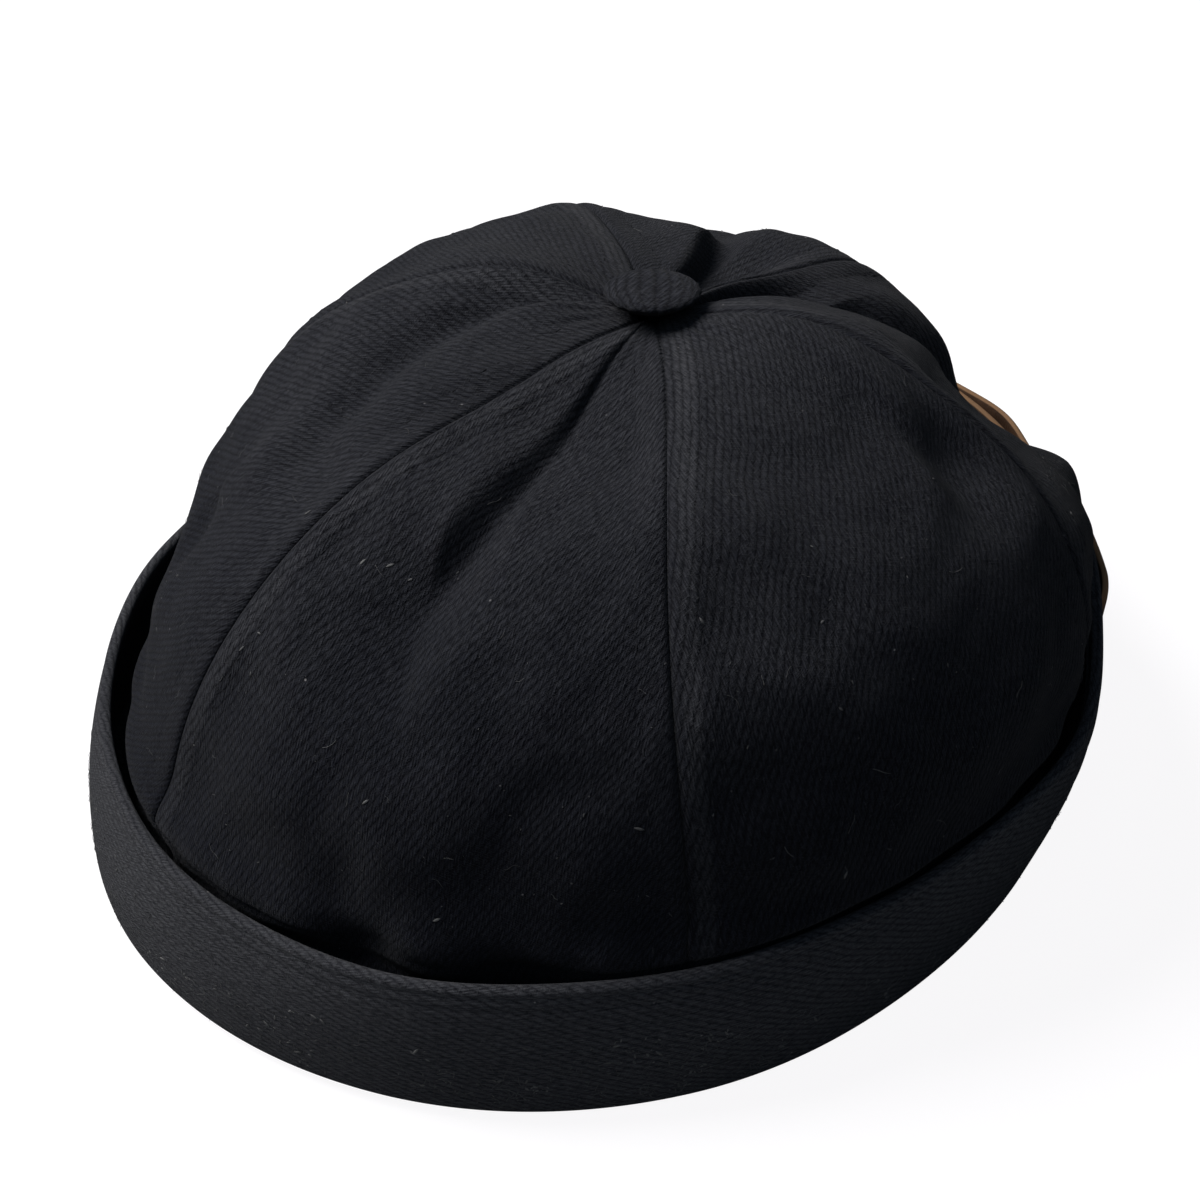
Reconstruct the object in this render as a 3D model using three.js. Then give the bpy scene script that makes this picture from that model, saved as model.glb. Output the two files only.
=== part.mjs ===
// A brimless fisherman cap of black cotton twill, standing on its turned-up cuff.
// Six sewn panels make the crown and meet under a covered button, one band is turned up
// as the cuff with a slit at the back, and a leather strap in two layers crosses the slit.
// Millimetres, +Z up, z = 0 at the fold that the cap stands on, the wearer's front towards -Y.
// Angles are in degrees from the front, growing towards the wearer's left (+X).
import * as THREE from "three";

// Crown: the cloth wall, its top under the button and its lower edge inside the cuff.
const CLOTH = 1.8;
const SEAM_GAP = 0.3;
const CROWN_TOP = 105;
const CROWN_EDGE = 14;
const CROWN_LEAN = { x: 10, y: 9.5, power: 1.2 };
const WALL_CENTRE = 20;
const TOP_HOLE = 3;
const WIDEST_AT = 0.7;
const TUCK_SOFT = 0.6;
const RIM_ROLL = 1.4;

// One row for each seam: how far the crown reaches from the middle, the height where it is widest,
// the squareness of the shoulder, how far the top sinks in, how far the side is drawn in as a waist,
// how far the seam swings sideways near the top and sways lower down, and how far the crown rolls out
// over the cuff's top edge.
const CROWN_SEAMS = [
  { angle: 0, reach: 98, widest: 32, power: 2.4, dip: 4, waist: 0, swing: 0, sway: 0, roll: 3.5 },
  { angle: 60, reach: 98, widest: 36, power: 2.3, dip: 2, waist: 0, swing: -7, sway: 0, roll: 3.5 },
  { angle: 120, reach: 101, widest: 42, power: 2.2, dip: -4, waist: 0, swing: -3, sway: -4, roll: 1 },
  { angle: 180, reach: 95, widest: 36, power: 2.15, dip: 4, waist: 14, swing: 0, sway: 0, roll: 0 },
  { angle: 240, reach: 96, widest: 32, power: 2.35, dip: 2, waist: 0, swing: 0, sway: 0, roll: 0 },
  { angle: 300, reach: 83, widest: 31, power: 2.7, dip: -3, waist: 1, swing: 0, sway: 0, roll: 1.5 },
];
const TOP_DIP = { at: 0.35, width: 0.22 };
const TOP_WELL = { depth: 3.6, width: 16 };
const WAIST = { at: 0.54, width: 0.13 };
const SWING_ENDS = { at: 0.68, power: 0.65 };
const SWAY_ZONE = { at: 0.54, width: 0.14 };

// One row for each panel, in order from the front seam: how far it sags between its seams
// near the top, and how far it bellies out lower down.
const CROWN_PANELS = [
  { name: "crown_panel_front_left", sag: 2, belly: 1 },
  { name: "crown_panel_side_left", sag: 1, belly: 0 },
  { name: "crown_panel_back_left", sag: 6, belly: 4 },
  { name: "crown_panel_back_right", sag: -1, belly: 3 },
  { name: "crown_panel_side_right", sag: 1, belly: 2 },
  { name: "crown_panel_front_right", sag: 2, belly: -3 },
];
const SAG_ZONE = { at: 0.35, width: 0.18 };
const BELLY_ZONE = { at: 0.66, width: 0.2 };
const PANEL_SPAN = 360 / CROWN_PANELS.length;

// One row for each fold pressed into a panel or, with a negative depth, pushed out of it.
// "down" runs from 0 at the top to 1 at the lower edge, and "across" from -1 at the panel's
// first seam to 1 at its second.
const FOLDS = [
  { panel: 0, down: [0.16, 0.38], across: [-0.04, -0.22], depth: 5, width: 12 },
  { panel: 1, down: [0.23, 0.3], across: [0.55, 0.66], depth: 3, width: 9 },
  { panel: 2, down: [0.1, 0.42], across: [0.3, 0.1], depth: 9, width: 12 },
  { panel: 2, down: [0.28, 0.36], across: [-0.7, -0.7], depth: 3.5, width: 9 },
  { panel: 2, down: [0.58, 0.63], across: [-0.1, 0.05], depth: -4, width: 9 },
  { panel: 3, down: [0.1, 0.3], across: [-0.25, 0], depth: 6, width: 13 },
  { panel: 5, down: [0.1, 0.31], across: [-0.5, 0.44], depth: 4, width: 8 },
  { panel: 5, down: [0.44, 0.5], across: [0, 0.05], depth: 3, width: 9 },
];
const FOLD_SPAN = { down: 140, across: 45, narrowest: 0.1 };
const SEAM_STIFF = 7;
const PANEL_GRID = { down: 20, across: 11 };

// The crown's lower part about the cuff's top edge: where it rolls out, as a height above the edge,
// and pockets where it tucks in below the edge.
const ROLL_ZONE = { at: 1, width: 6 };
const POCKET_ZONE = { at: -1, width: 6, turn: 5 };
const POCKETS = [
  { angle: 28, depth: 4.5 },
  { angle: 43, depth: 4 },
];

// Button on the top, its shank through the hole where the six panels meet. One row for each ring of its
// outside, from below its edge to the middle of its top, as a share of the radius and a rise off the seat.
// It leans, raised on one side by a share of the distance out.
const BUTTON = { radius: 9, shank: 2.5, seat: 104.2, sides: 24, lean: 0.09, raisedAt: 50 };
const BUTTON_RINGS = [
  { out: 0.74, up: -0.4 },
  { out: 0.9, up: 0.6 },
  { out: 1, up: 1.5 },
  { out: 0.94, up: 2.3 },
  { out: 0.7, up: 2.8 },
  { out: 0.25, up: 2.98 },
  { out: 0, up: 3 },
];

// Cuff: a folded band whose inner leg carries the panels. One row for each section round the cap:
// the radius of the fold on the table, the radius and height of the band's outer top edge,
// and the room left between the band and the crown.
const CUFF_WALL = 2.6;
const CUFF_DEPTH = 8;
const CUFF_BELLY = 1.6;
const CUFF_SECTIONS = [
  { angle: 0, fold: 109, top: 104.5, height: 32, clear: 1.2 },
  { angle: 30, fold: 108.5, top: 106, height: 32, clear: 1 },
  { angle: 60, fold: 104.5, top: 104, height: 32.5, clear: 1.2 },
  { angle: 90, fold: 100, top: 101, height: 33, clear: 3.5 },
  { angle: 120, fold: 100, top: 106, height: 35, clear: 4.5 },
  { angle: 150, fold: 102, top: 107.5, height: 41, clear: 2.5 },
  { angle: 180, fold: 103, top: 109, height: 41, clear: 1.5 },
  { angle: 210, fold: 103, top: 107, height: 39, clear: 1.5 },
  { angle: 240, fold: 102, top: 102, height: 36, clear: 1.5 },
  { angle: 270, fold: 102.1, top: 95, height: 34, clear: 1.5 },
  { angle: 300, fold: 99, top: 90.5, height: 32.5, clear: 2 },
  { angle: 330, fold: 103, top: 96.5, height: 32, clear: 3 },
];
const FOLD_ROUND = 2.4;
const TOP_ROUND = 0.8;
const CUFF_STEPS = 84;
const CUFF_RISES = [0.25, 0.5, 0.75];

// Slit in the cuff at the back, from the top edge down to the fold.
const SLIT = { middle: 177, half: 27, floor: 6, side: 0.6, steps: 12 };

// Leather strap across the slit: a tab sewn to the wearer's left side, and a long strap sewn to the right
// side whose free end lies over the tab. They bow apart once, and a keeper holds them together.
const LEATHER = 1.3;
const STRAP = { width: 17, endTop: 38.5, middleTop: 44, clear: 0.3, steps: 30 };
const STRAP_PULL = { in: 4.5, run: 10, edge: 1.5 };
const STRAP_TAB = { from: 138, to: 194 };
const STRAP_LONG = { from: 158, to: 222 };
const STRAP_BOW = { at: 168.5, width: 5.5, gap: 2 };
const STRAP_LAP = { from: 195, to: 202, gap: 0.4 };
const KEEPER = { angle: 188, length: 5, wall: 1.2, clear: 0.35 };

// Colours of the twill, the leather and the metal.
const TWILL = new THREE.MeshStandardMaterial({ color: 0x16181d, roughness: 0.92, metalness: 0 });
const CUFF_TWILL = new THREE.MeshStandardMaterial({ color: 0x1a1c21, roughness: 0.92, metalness: 0 });
const TAN_LEATHER = new THREE.MeshStandardMaterial({ color: 0x6b4a2f, roughness: 0.6, metalness: 0 });
const BRASS = new THREE.MeshStandardMaterial({ color: 0x9a7b45, roughness: 0.4, metalness: 1 });

const radians = THREE.MathUtils.degToRad;

// A column of an evenly stepped table, joined round the full turn by a Catmull-Rom curve.
function blend(rows, column, angle) {
  const turn = (((angle / 360) % 1) + 1) % 1;
  const place = turn * rows.length;
  const index = Math.floor(place);
  const f = place - index;
  const [a, b, c, d] = [-1, 0, 1, 2].map(
    (step) => rows[(index + step + rows.length) % rows.length][column],
  );
  const square = 2 * a - 5 * b + 4 * c - d;
  const cube = 3 * b - a - 3 * c + d;
  return 0.5 * (2 * b + (c - a) * f + square * f * f + cube * f * f * f);
}

// A smooth bump of height 1 about a place.
function hump(value, at, width) {
  return Math.exp(-(((value - at) / width) ** 2));
}

// A smooth step from 0 at one value to 1 at another.
function step(value, from, to) {
  return THREE.MathUtils.smoothstep(value, from, to);
}

// A point at a radius, an angle from the front and a height.
function polar(radius, angle, height) {
  const turn = radians(angle);
  return new THREE.Vector3(radius * Math.sin(turn), -radius * Math.cos(turn), height);
}

// Half the width of a panel at a place down it, on the arc of its own share of the turn.
function panelHalf(panel, down) {
  const middle = PANEL_SPAN * (panel + 0.5);
  const sweep = (Math.min(down / WIDEST_AT, 1) * Math.PI) / 2;
  const out = Math.sin(sweep) ** (2 / blend(CROWN_SEAMS, "power", middle));
  return blend(CROWN_SEAMS, "reach", middle) * out * radians(PANEL_SPAN / 2);
}

// How deep the folds press into a panel at a place on it, in a trough about each fold's line
// that fades out at the stiff seams.
function foldDepth(panel, down, across) {
  let depth = 0;
  for (const fold of FOLDS.filter((row) => row.panel === panel)) {
    const run = new THREE.Vector2(fold.down[1] - fold.down[0], fold.across[1] - fold.across[0]);
    const away = new THREE.Vector2(down - fold.down[0], across - fold.across[0]);
    const along = THREE.MathUtils.clamp(away.dot(run) / run.lengthSq(), 0, 1);
    away.addScaledVector(run, -along);
    const narrowing = THREE.MathUtils.clamp(down / WIDEST_AT, FOLD_SPAN.narrowest, 1);
    const far = Math.hypot(away.x * FOLD_SPAN.down, away.y * FOLD_SPAN.across * narrowing);
    depth += fold.depth * hump(far, 0, fold.width);
  }
  const half = panelHalf(panel, down);
  return depth * step((1 - Math.abs(across)) * half, 0, Math.min(SEAM_STIFF, half / 2));
}

// How far the crown's lower part rolls out over the cuff's top edge, less its pockets.
function brimRoll(angle, height) {
  const above = height - blend(CUFF_SECTIONS, "height", angle);
  const turn = ((angle % 360) + 360) % 360;
  let tucked = 0;
  for (const pocket of POCKETS) {
    tucked += pocket.depth * hump(turn, pocket.angle, POCKET_ZONE.turn);
  }
  const roll = blend(CROWN_SEAMS, "roll", angle) * hump(above, ROLL_ZONE.at, ROLL_ZONE.width);
  return roll - tucked * hump(above, POCKET_ZONE.at, POCKET_ZONE.width);
}

// A point in the crown's wall: a rounded-square dome on leaning rings from the top to its widest
// height, tucked in to the cuff below that, then pushed in or out by its panel's form and folds.
// "inward" is the depth below the outer face, and "panel" settles which side of a seam is meant.
function crownPoint(angle, down, inward, panel) {
  const swingPart = Math.min(down / SWING_ENDS.at, 1) ** SWING_ENDS.power;
  const swing = blend(CROWN_SEAMS, "swing", angle) * Math.sin(Math.PI * swingPart);
  const sway = blend(CROWN_SEAMS, "sway", angle) * hump(down, SWAY_ZONE.at, SWAY_ZONE.width);
  const turned = angle + swing + sway;
  const at = (column) => blend(CROWN_SEAMS, column, turned);
  const edge = blend(CUFF_SECTIONS, "fold", turned) - CUFF_DEPTH;
  const sweep = (Math.min(down / WIDEST_AT, 1) * Math.PI) / 2;
  const out = Math.sin(sweep) ** (2 / at("power"));
  const up = Math.max(Math.cos(sweep), 0) ** (2 / at("power"));
  const tuck = Math.max(down - WIDEST_AT, 0) / (1 - WIDEST_AT);
  const upper = down < WIDEST_AT;
  const reach = at("reach");
  const radius = upper ? reach * out : edge + (reach - edge) * Math.cos((tuck * Math.PI) / 2);
  const dip = at("dip") * hump(out, TOP_DIP.at, TOP_DIP.width);
  const well = TOP_WELL.depth * hump(radius, 0, TOP_WELL.width);
  const height = upper
    ? at("widest") + (CROWN_TOP - at("widest")) * up - dip - well
    : THREE.MathUtils.lerp(at("widest"), CROWN_EDGE, tuck);
  const point = polar(radius, turned, height);
  point.x += CROWN_LEAN.x * up ** CROWN_LEAN.power;
  point.y += CROWN_LEAN.y * up ** CROWN_LEAN.power;

  const form = CROWN_PANELS[panel];
  const across = 2 * (angle / PANEL_SPAN - panel) - 1;
  const arch = Math.cos((Math.PI / 2) * THREE.MathUtils.clamp(across, -1, 1)) ** 2;
  const belly = form.belly * hump(down, BELLY_ZONE.at, BELLY_ZONE.width);
  const sag = form.sag * hump(down, SAG_ZONE.at, SAG_ZONE.width);
  const waist = at("waist") * hump(down, WAIST.at, WAIST.width);
  const roll = brimRoll(turned, height);
  const push = arch * (belly - sag) - waist + roll - foldDepth(panel, down, across) - inward;
  const outwards = point.clone().sub(new THREE.Vector3(0, 0, WALL_CENTRE)).normalize();
  point.addScaledVector(outwards, push);

  const spread = Math.hypot(point.x, point.y);
  const azimuth = THREE.MathUtils.radToDeg(Math.atan2(point.x, -point.y));
  const over = crownLimit(azimuth, point.z) - inward - spread;
  const kept = spread - TUCK_SOFT * Math.log(1 + Math.exp(-over / TUCK_SOFT));
  point.x *= kept / spread;
  point.y *= kept / spread;
  return point;
}

// The widest the crown may be at an angle and a height: inside the cuff up to its top edge,
// then rolling out over the edge.
function crownLimit(angle, height) {
  const rim = blend(CUFF_SECTIONS, "height", angle);
  const inside = cuffRadius(angle, Math.min(height, rim)) - CUFF_WALL - blend(CUFF_SECTIONS, "clear", angle);
  return inside + RIM_ROLL * Math.max(height - rim, 0);
}

// Mesh from a list of points and triangles.
function geometryOf(points, triangles) {
  const geometry = new THREE.BufferGeometry().setFromPoints(points);
  geometry.setIndex(triangles);
  geometry.computeVertexNormals();
  return geometry;
}

// A sheet with thickness: face(row, column) gives the outer point and back(row, column) the inner one.
// The outer face looks along (down the rows) x (along the columns).
function sheetGeometry(rows, columns, face, back) {
  const points = [];
  const triangles = [];
  const width = columns + 1;
  const layer = (rows + 1) * width;
  for (const side of [face, back]) {
    for (let row = 0; row <= rows; row++) {
      for (let column = 0; column <= columns; column++) points.push(side(row, column));
    }
  }
  const quad = (a, b, c, d) => triangles.push(a, b, c, a, c, d);
  for (let row = 0; row < rows; row++) {
    for (let column = 0; column < columns; column++) {
      const a = row * width + column;
      quad(a, a + width, a + width + 1, a + 1);
      quad(layer + a, layer + a + 1, layer + a + width + 1, layer + a + width);
    }
  }
  for (let row = 0; row < rows; row++) {
    const first = row * width;
    const last = first + columns;
    quad(first, layer + first, layer + first + width, first + width);
    quad(last, last + width, layer + last + width, layer + last);
  }
  for (let column = 0; column < columns; column++) {
    const low = rows * width + column;
    quad(column, column + 1, layer + column + 1, layer + column);
    quad(low, layer + low, layer + low + 1, low + 1);
  }
  return geometryOf(points, triangles);
}

// A closed ring: sections[i] holds the same number of points in order round the section.
function ringGeometry(sections) {
  const count = sections[0].length;
  const triangles = [];
  sections.forEach((_, index) => {
    const here = index * count;
    const next = ((index + 1) % sections.length) * count;
    for (let k = 0; k < count; k++) {
      const after = (k + 1) % count;
      triangles.push(here + k, next + k, next + after, here + k, next + after, here + after);
    }
  });
  return geometryOf(sections.flat(), triangles);
}

function namedMesh(name, geometry, material) {
  const mesh = new THREE.Mesh(geometry, material);
  mesh.name = name;
  return mesh;
}

// One crown panel, a gore from the hole under the button to the cuff, half a seam gap in from each seam.
function crownPanel(panel) {
  const { down: rows, across: columns } = PANEL_GRID;
  const place = (row, column, inward) => {
    const seamAngle = (panel + column / columns) * PANEL_SPAN;
    const reach = blend(CROWN_SEAMS, "reach", seamAngle);
    const power = blend(CROWN_SEAMS, "power", seamAngle);
    const start = (Math.asin((TOP_HOLE / reach) ** (power / 2)) / (Math.PI / 2)) * WIDEST_AT;
    const down = THREE.MathUtils.lerp(start, 1, row / rows);
    const sweep = (Math.min(down / WIDEST_AT, 1) * Math.PI) / 2;
    const radius = reach * Math.sin(sweep) ** (2 / power);
    const margin = THREE.MathUtils.radToDeg(SEAM_GAP / 2 / radius);
    const first = panel * PANEL_SPAN + margin;
    const last = (panel + 1) * PANEL_SPAN - margin;
    const angle = THREE.MathUtils.lerp(first, last, column / columns);
    return crownPoint(angle, down, inward, panel);
  };
  const geometry = sheetGeometry(
    rows,
    columns,
    (row, column) => place(row, column, 0),
    (row, column) => place(row, column, CLOTH),
  );
  return namedMesh(CROWN_PANELS[panel].name, geometry, TWILL);
}

// The covered button: a shallow dome whose edge turns in below, on a shank that passes through the crown.
function crownButton() {
  const { radius, shank, seat, sides, lean, raisedAt } = BUTTON;
  const below = seat - (CROWN_TOP - TOP_WELL.depth - CLOTH);
  const profile = [
    [0, -below],
    [shank, -below],
    [shank, BUTTON_RINGS[0].up],
    ...BUTTON_RINGS.map(({ out, up }) => [radius * out, up]),
  ].map(([x, y]) => new THREE.Vector2(x, y));
  const geometry = new THREE.LatheGeometry(profile, sides);
  const raised = polar(lean, raisedAt, 0);
  geometry.applyMatrix4(new THREE.Matrix4().makeShear(raised.x, 0, 0, 0, 0, -raised.y));
  const mesh = namedMesh("crown_button", geometry, TWILL);
  mesh.rotation.x = Math.PI / 2;
  mesh.position.set(CROWN_LEAN.x, CROWN_LEAN.y, seat);
  return mesh;
}

// Radius of the cuff's outer face at an angle and a height, straight on past its top edge.
function cuffRadius(angle, height) {
  const fold = blend(CUFF_SECTIONS, "fold", angle);
  const top = blend(CUFF_SECTIONS, "top", angle);
  const rise = height / blend(CUFF_SECTIONS, "height", angle);
  return fold + (top - fold) * rise + CUFF_BELLY * Math.sin(Math.PI * Math.min(rise, 1));
}

// The cuff's section at an angle: up the outer leg's outside, over its top edge, down its inside,
// across the fold to the inner leg that carries the crown, and back under the flat of the fold.
function cuffSection(angle, top) {
  const fold = blend(CUFF_SECTIONS, "fold", angle);
  const inner = fold - CUFF_DEPTH;
  const legTop = CROWN_EDGE - SEAM_GAP;
  const outer = (height, inward) => [cuffRadius(angle, height) - inward, height];
  const rises = CUFF_RISES.map((share) => THREE.MathUtils.lerp(FOLD_ROUND, top, share));
  const section = [
    [inner - CLOTH + FOLD_ROUND, 0],
    [fold - FOLD_ROUND, 0],
    outer(FOLD_ROUND, 0),
    ...rises.map((height) => outer(height, 0)),
    outer(top - TOP_ROUND, 0),
    [cuffRadius(angle, top) - TOP_ROUND, top],
    [cuffRadius(angle, top) - CUFF_WALL + TOP_ROUND, top],
    outer(top - TOP_ROUND, CUFF_WALL),
    ...rises.toReversed().map((height) => outer(Math.max(height, CUFF_WALL + TOP_ROUND), CUFF_WALL)),
    [fold - CUFF_WALL - TOP_ROUND, CUFF_WALL],
    [inner + TOP_ROUND, CUFF_WALL],
    [inner, CUFF_WALL + TOP_ROUND],
    [inner, legTop],
    [inner - CLOTH, legTop],
    [inner - CLOTH, FOLD_ROUND],
  ];
  return section.map(([radius, height]) => polar(radius, angle, height));
}

// The cuff: full height round the cap, cut down to the fold along the slit.
function cuff() {
  const sections = [];
  const start = SLIT.middle + SLIT.half;
  const sweep = 360 - 2 * SLIT.half;
  for (let k = 0; k <= CUFF_STEPS; k++) {
    const angle = start + (sweep * k) / CUFF_STEPS;
    sections.push(cuffSection(angle, blend(CUFF_SECTIONS, "height", angle)));
  }
  const half = SLIT.half - SLIT.side;
  for (let k = 0; k <= SLIT.steps; k++) {
    const angle = SLIT.middle + THREE.MathUtils.lerp(-half, half, k / SLIT.steps);
    sections.push(cuffSection(angle, SLIT.floor));
  }
  return namedMesh("cuff", ringGeometry(sections), CUFF_TWILL);
}

// Height of the strap's top edge, highest in the middle of the back.
function strapTop(angle) {
  const half = (STRAP_LONG.to - STRAP_TAB.from) / 2;
  const away = Math.min(Math.abs(angle - SLIT.middle) / half, 1);
  return THREE.MathUtils.lerp(STRAP.middleTop, STRAP.endTop, step(away, 0, 1));
}

// How far a layer's inner face stands off the cuff's line: the tab lies on the cuff and is pulled in
// across the slit, the long strap lies on the tab with a bow between them, and comes down to the cuff
// past the tab's end.
function tabStand(angle) {
  const first = SLIT.middle - SLIT.half + STRAP_PULL.edge;
  const last = SLIT.middle + SLIT.half - STRAP_PULL.edge;
  const entering = step(angle, first, first + STRAP_PULL.run);
  const leaving = step(angle, last - STRAP_PULL.run, last);
  return STRAP.clear - STRAP_PULL.in * entering * (1 - leaving);
}

function longStand(angle) {
  const over = LEATHER + STRAP_LAP.gap + STRAP_BOW.gap * hump(angle, STRAP_BOW.at, STRAP_BOW.width);
  return tabStand(angle) + over * (1 - step(angle, STRAP_LAP.from, STRAP_LAP.to));
}

// A strap layer between two angles, standing off the cuff's outer face by a function of the angle.
function strapLayer(name, { from, to }, stand) {
  const place = (row, column, thick) => {
    const angle = THREE.MathUtils.lerp(from, to, column / STRAP.steps);
    const height = strapTop(angle) - STRAP.width * row;
    return polar(cuffRadius(angle, height) + stand(angle) + thick, angle, height);
  };
  const geometry = sheetGeometry(
    1,
    STRAP.steps,
    (row, column) => place(row, column, LEATHER),
    (row, column) => place(row, column, 0),
  );
  return namedMesh(name, geometry, TAN_LEATHER);
}

// The keeper: a flat loop of metal round both strap layers, leaning with the cuff.
function strapKeeper() {
  const { angle, length, wall, clear } = KEEPER;
  const halfAngle = THREE.MathUtils.radToDeg(length / 2 / cuffRadius(angle, STRAP.middleTop));
  const high = strapTop(angle) + clear;
  const low = strapTop(angle) - STRAP.width - clear;
  const loop = (turn, grow) => {
    const near = tabStand(angle) - clear - grow;
    const far = longStand(angle) + LEATHER + clear + grow;
    return [
      [near, high + grow],
      [near, low - grow],
      [far, low - grow],
      [far, high + grow],
    ].map(([stand, height]) => polar(cuffRadius(turn, height) + stand, turn, height));
  };
  const outside = [angle - halfAngle, angle + halfAngle].map((turn) => loop(turn, wall));
  const inside = [angle - halfAngle, angle + halfAngle].map((turn) => loop(turn, 0));
  const corners = outside[0].map((_, k) => [outside[0][k], inside[0][k], inside[1][k], outside[1][k]]);
  return namedMesh("strap_keeper", ringGeometry(corners), BRASS);
}

const crown = new THREE.Group();
CROWN_PANELS.forEach((_, panel) => crown.add(crownPanel(panel)));
crown.add(crownButton());

const strap = new THREE.Group();
strap.add(strapLayer("strap_tab", STRAP_TAB, tabStand));
strap.add(strapLayer("strap_long", STRAP_LONG, longStand));
strap.add(strapKeeper());

const cap = new THREE.Group();
cap.add(crown, cuff(), strap);

export default cap;
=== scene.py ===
# A brimless fisherman cap of black cotton twill, standing on its turned-up cuff.
# Lengths are millimetres until a mesh is made, and angles are degrees from the front (-Y) towards +X.
import bmesh
import bpy
import numpy as np
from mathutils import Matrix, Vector


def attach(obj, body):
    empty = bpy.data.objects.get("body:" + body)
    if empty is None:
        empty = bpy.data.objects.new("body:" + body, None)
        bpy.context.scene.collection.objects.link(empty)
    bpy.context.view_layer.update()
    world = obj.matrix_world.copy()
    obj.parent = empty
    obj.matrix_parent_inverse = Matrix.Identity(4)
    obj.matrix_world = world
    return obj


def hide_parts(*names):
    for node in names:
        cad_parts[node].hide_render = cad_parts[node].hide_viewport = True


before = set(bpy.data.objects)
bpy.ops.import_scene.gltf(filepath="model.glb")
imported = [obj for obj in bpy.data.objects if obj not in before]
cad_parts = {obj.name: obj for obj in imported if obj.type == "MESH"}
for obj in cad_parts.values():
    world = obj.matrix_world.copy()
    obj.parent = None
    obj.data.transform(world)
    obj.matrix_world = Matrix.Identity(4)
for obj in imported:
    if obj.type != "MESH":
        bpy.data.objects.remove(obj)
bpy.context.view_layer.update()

# Cuff
# One band of black cotton twill, doubled and turned up round the lower edge of the cap. Its fold lies on
# the table, its inner leg carries the crown, and the back is slit so that a strap can draw it in.
MM = 0.001
CLOTH = 1.8
CROWN_EDGE = 14
LEG_LAP = 0.3
CUFF_WALL = 2.6
CUFF_DEPTH = 8
CUFF_BELLY = 1.6
CUFF = {
    "fold": (109, 108.5, 104.5, 100, 100, 102, 103, 103, 102, 102.1, 99, 103),
    "top": (104.5, 106, 104, 101, 106, 107.5, 109, 107, 102, 95, 90.5, 96.5),
    "height": (32, 32, 32.5, 33, 35, 41, 41, 39, 36, 34, 32.5, 32),
    "clear": (1.2, 1, 1.2, 3.5, 4.5, 2.5, 1.5, 1.5, 1.5, 1.5, 2, 3),
    "warp": (28, 10, 2, 0, 4, 10, 18, 26, 34, 42, 48, 44),
}
FOLD_ROUND = 4.2
CHANNEL_ROUND = 0.8
SLIT = {"middle": 177, "half": 27, "floor": 6, "corner": 3.5, "side": 0.4}
CUFF_WAVES = {"turns": (4, 5, 9, 13), "height": (0.5, 0, 0.25, 0), "swell": (0, 0.5, 0.3, 0.2)}
HEM_RIDGES = {"at": 138, "width": 20, "height": 0.6, "pitch": 5.5}
HEM_LINES = {"below": (1.9, 4.3), "width": 0.5, "outside": 0.22, "inside": 0.5}
SWELL_RISE = (0.1, 0.9)
CUFF_ROWS = {"face": 36, "crowding": 1.6, "foot": 6, "heel": 5, "leg": 7, "channel": 3, "edge": 8}
CUFF_COLUMNS = {"round": 560, "slit": 40, "slit_span": (-1, 3)}


def round_turn(values, angle):
    """Values at even steps round the full turn, joined by a Catmull-Rom curve and read at angles."""
    table = np.asarray(values, float)
    place = np.mod(np.asarray(angle, float) / 360, 1) * len(table)
    index = np.floor(place).astype(int)
    f = place - index
    a, b, c, d = (table[(index + k) % len(table)] for k in (-1, 0, 1, 2))
    return b + 0.5 * f * (c - a + f * (2 * a - 5 * b + 4 * c - d + f * (3 * b - a - 3 * c + d)))


def hump(value, at, width):
    """A smooth bump of height 1 about a place, the exponential of minus the squared share of its width."""
    return np.exp(-(((value - at) / width) ** 2))


def smooth_step(value, start, end):
    """A smooth step from 0 at one value to 1 at another, 3 s squared less 2 s cubed."""
    s = np.clip((value - start) / (end - start), 0, 1)
    return s * s * (3 - 2 * s)


def polar(radius, angle, height):
    """Points at a radius, an angle from the front and a height."""
    turn = np.radians(angle)
    return np.stack(np.broadcast_arrays(radius * np.sin(turn), -radius * np.cos(turn), height), axis=-1)


def cuff_radius(angle, height):
    """Radius of the band's outer face: straight from the fold to the top edge, with a slight belly."""
    fold = round_turn(CUFF["fold"], angle)
    rise = height / round_turn(CUFF["height"], angle)
    lean = (round_turn(CUFF["top"], angle) - fold) * rise
    return fold + lean + CUFF_BELLY * np.sin(np.pi * np.minimum(rise, 1))


def cuff_swell(angle, height):
    """Low waves and hem ridges of the band's face, growing from nothing at the fold to the top edge."""
    top = round_turn(CUFF["height"], angle)
    rise = smooth_step(height / top, *SWELL_RISE)
    turns = np.radians(angle)
    waves = sum(s * np.sin(n * turns + n) for n, s in zip(CUFF_WAVES["turns"], CUFF_WAVES["swell"]))
    ridges = np.cos(2 * np.pi * (top - height) / HEM_RIDGES["pitch"]) * HEM_RIDGES["height"]
    return rise * (waves + ridges * hump(angle % 360, HEM_RIDGES["at"], HEM_RIDGES["width"]))


def hem_lines(below):
    """Grooves along the band's top edge, where the turned hem's layers end, by the depth below the edge."""
    return sum(hump(below, at, HEM_LINES["width"]) for at in HEM_LINES["below"])


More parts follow.
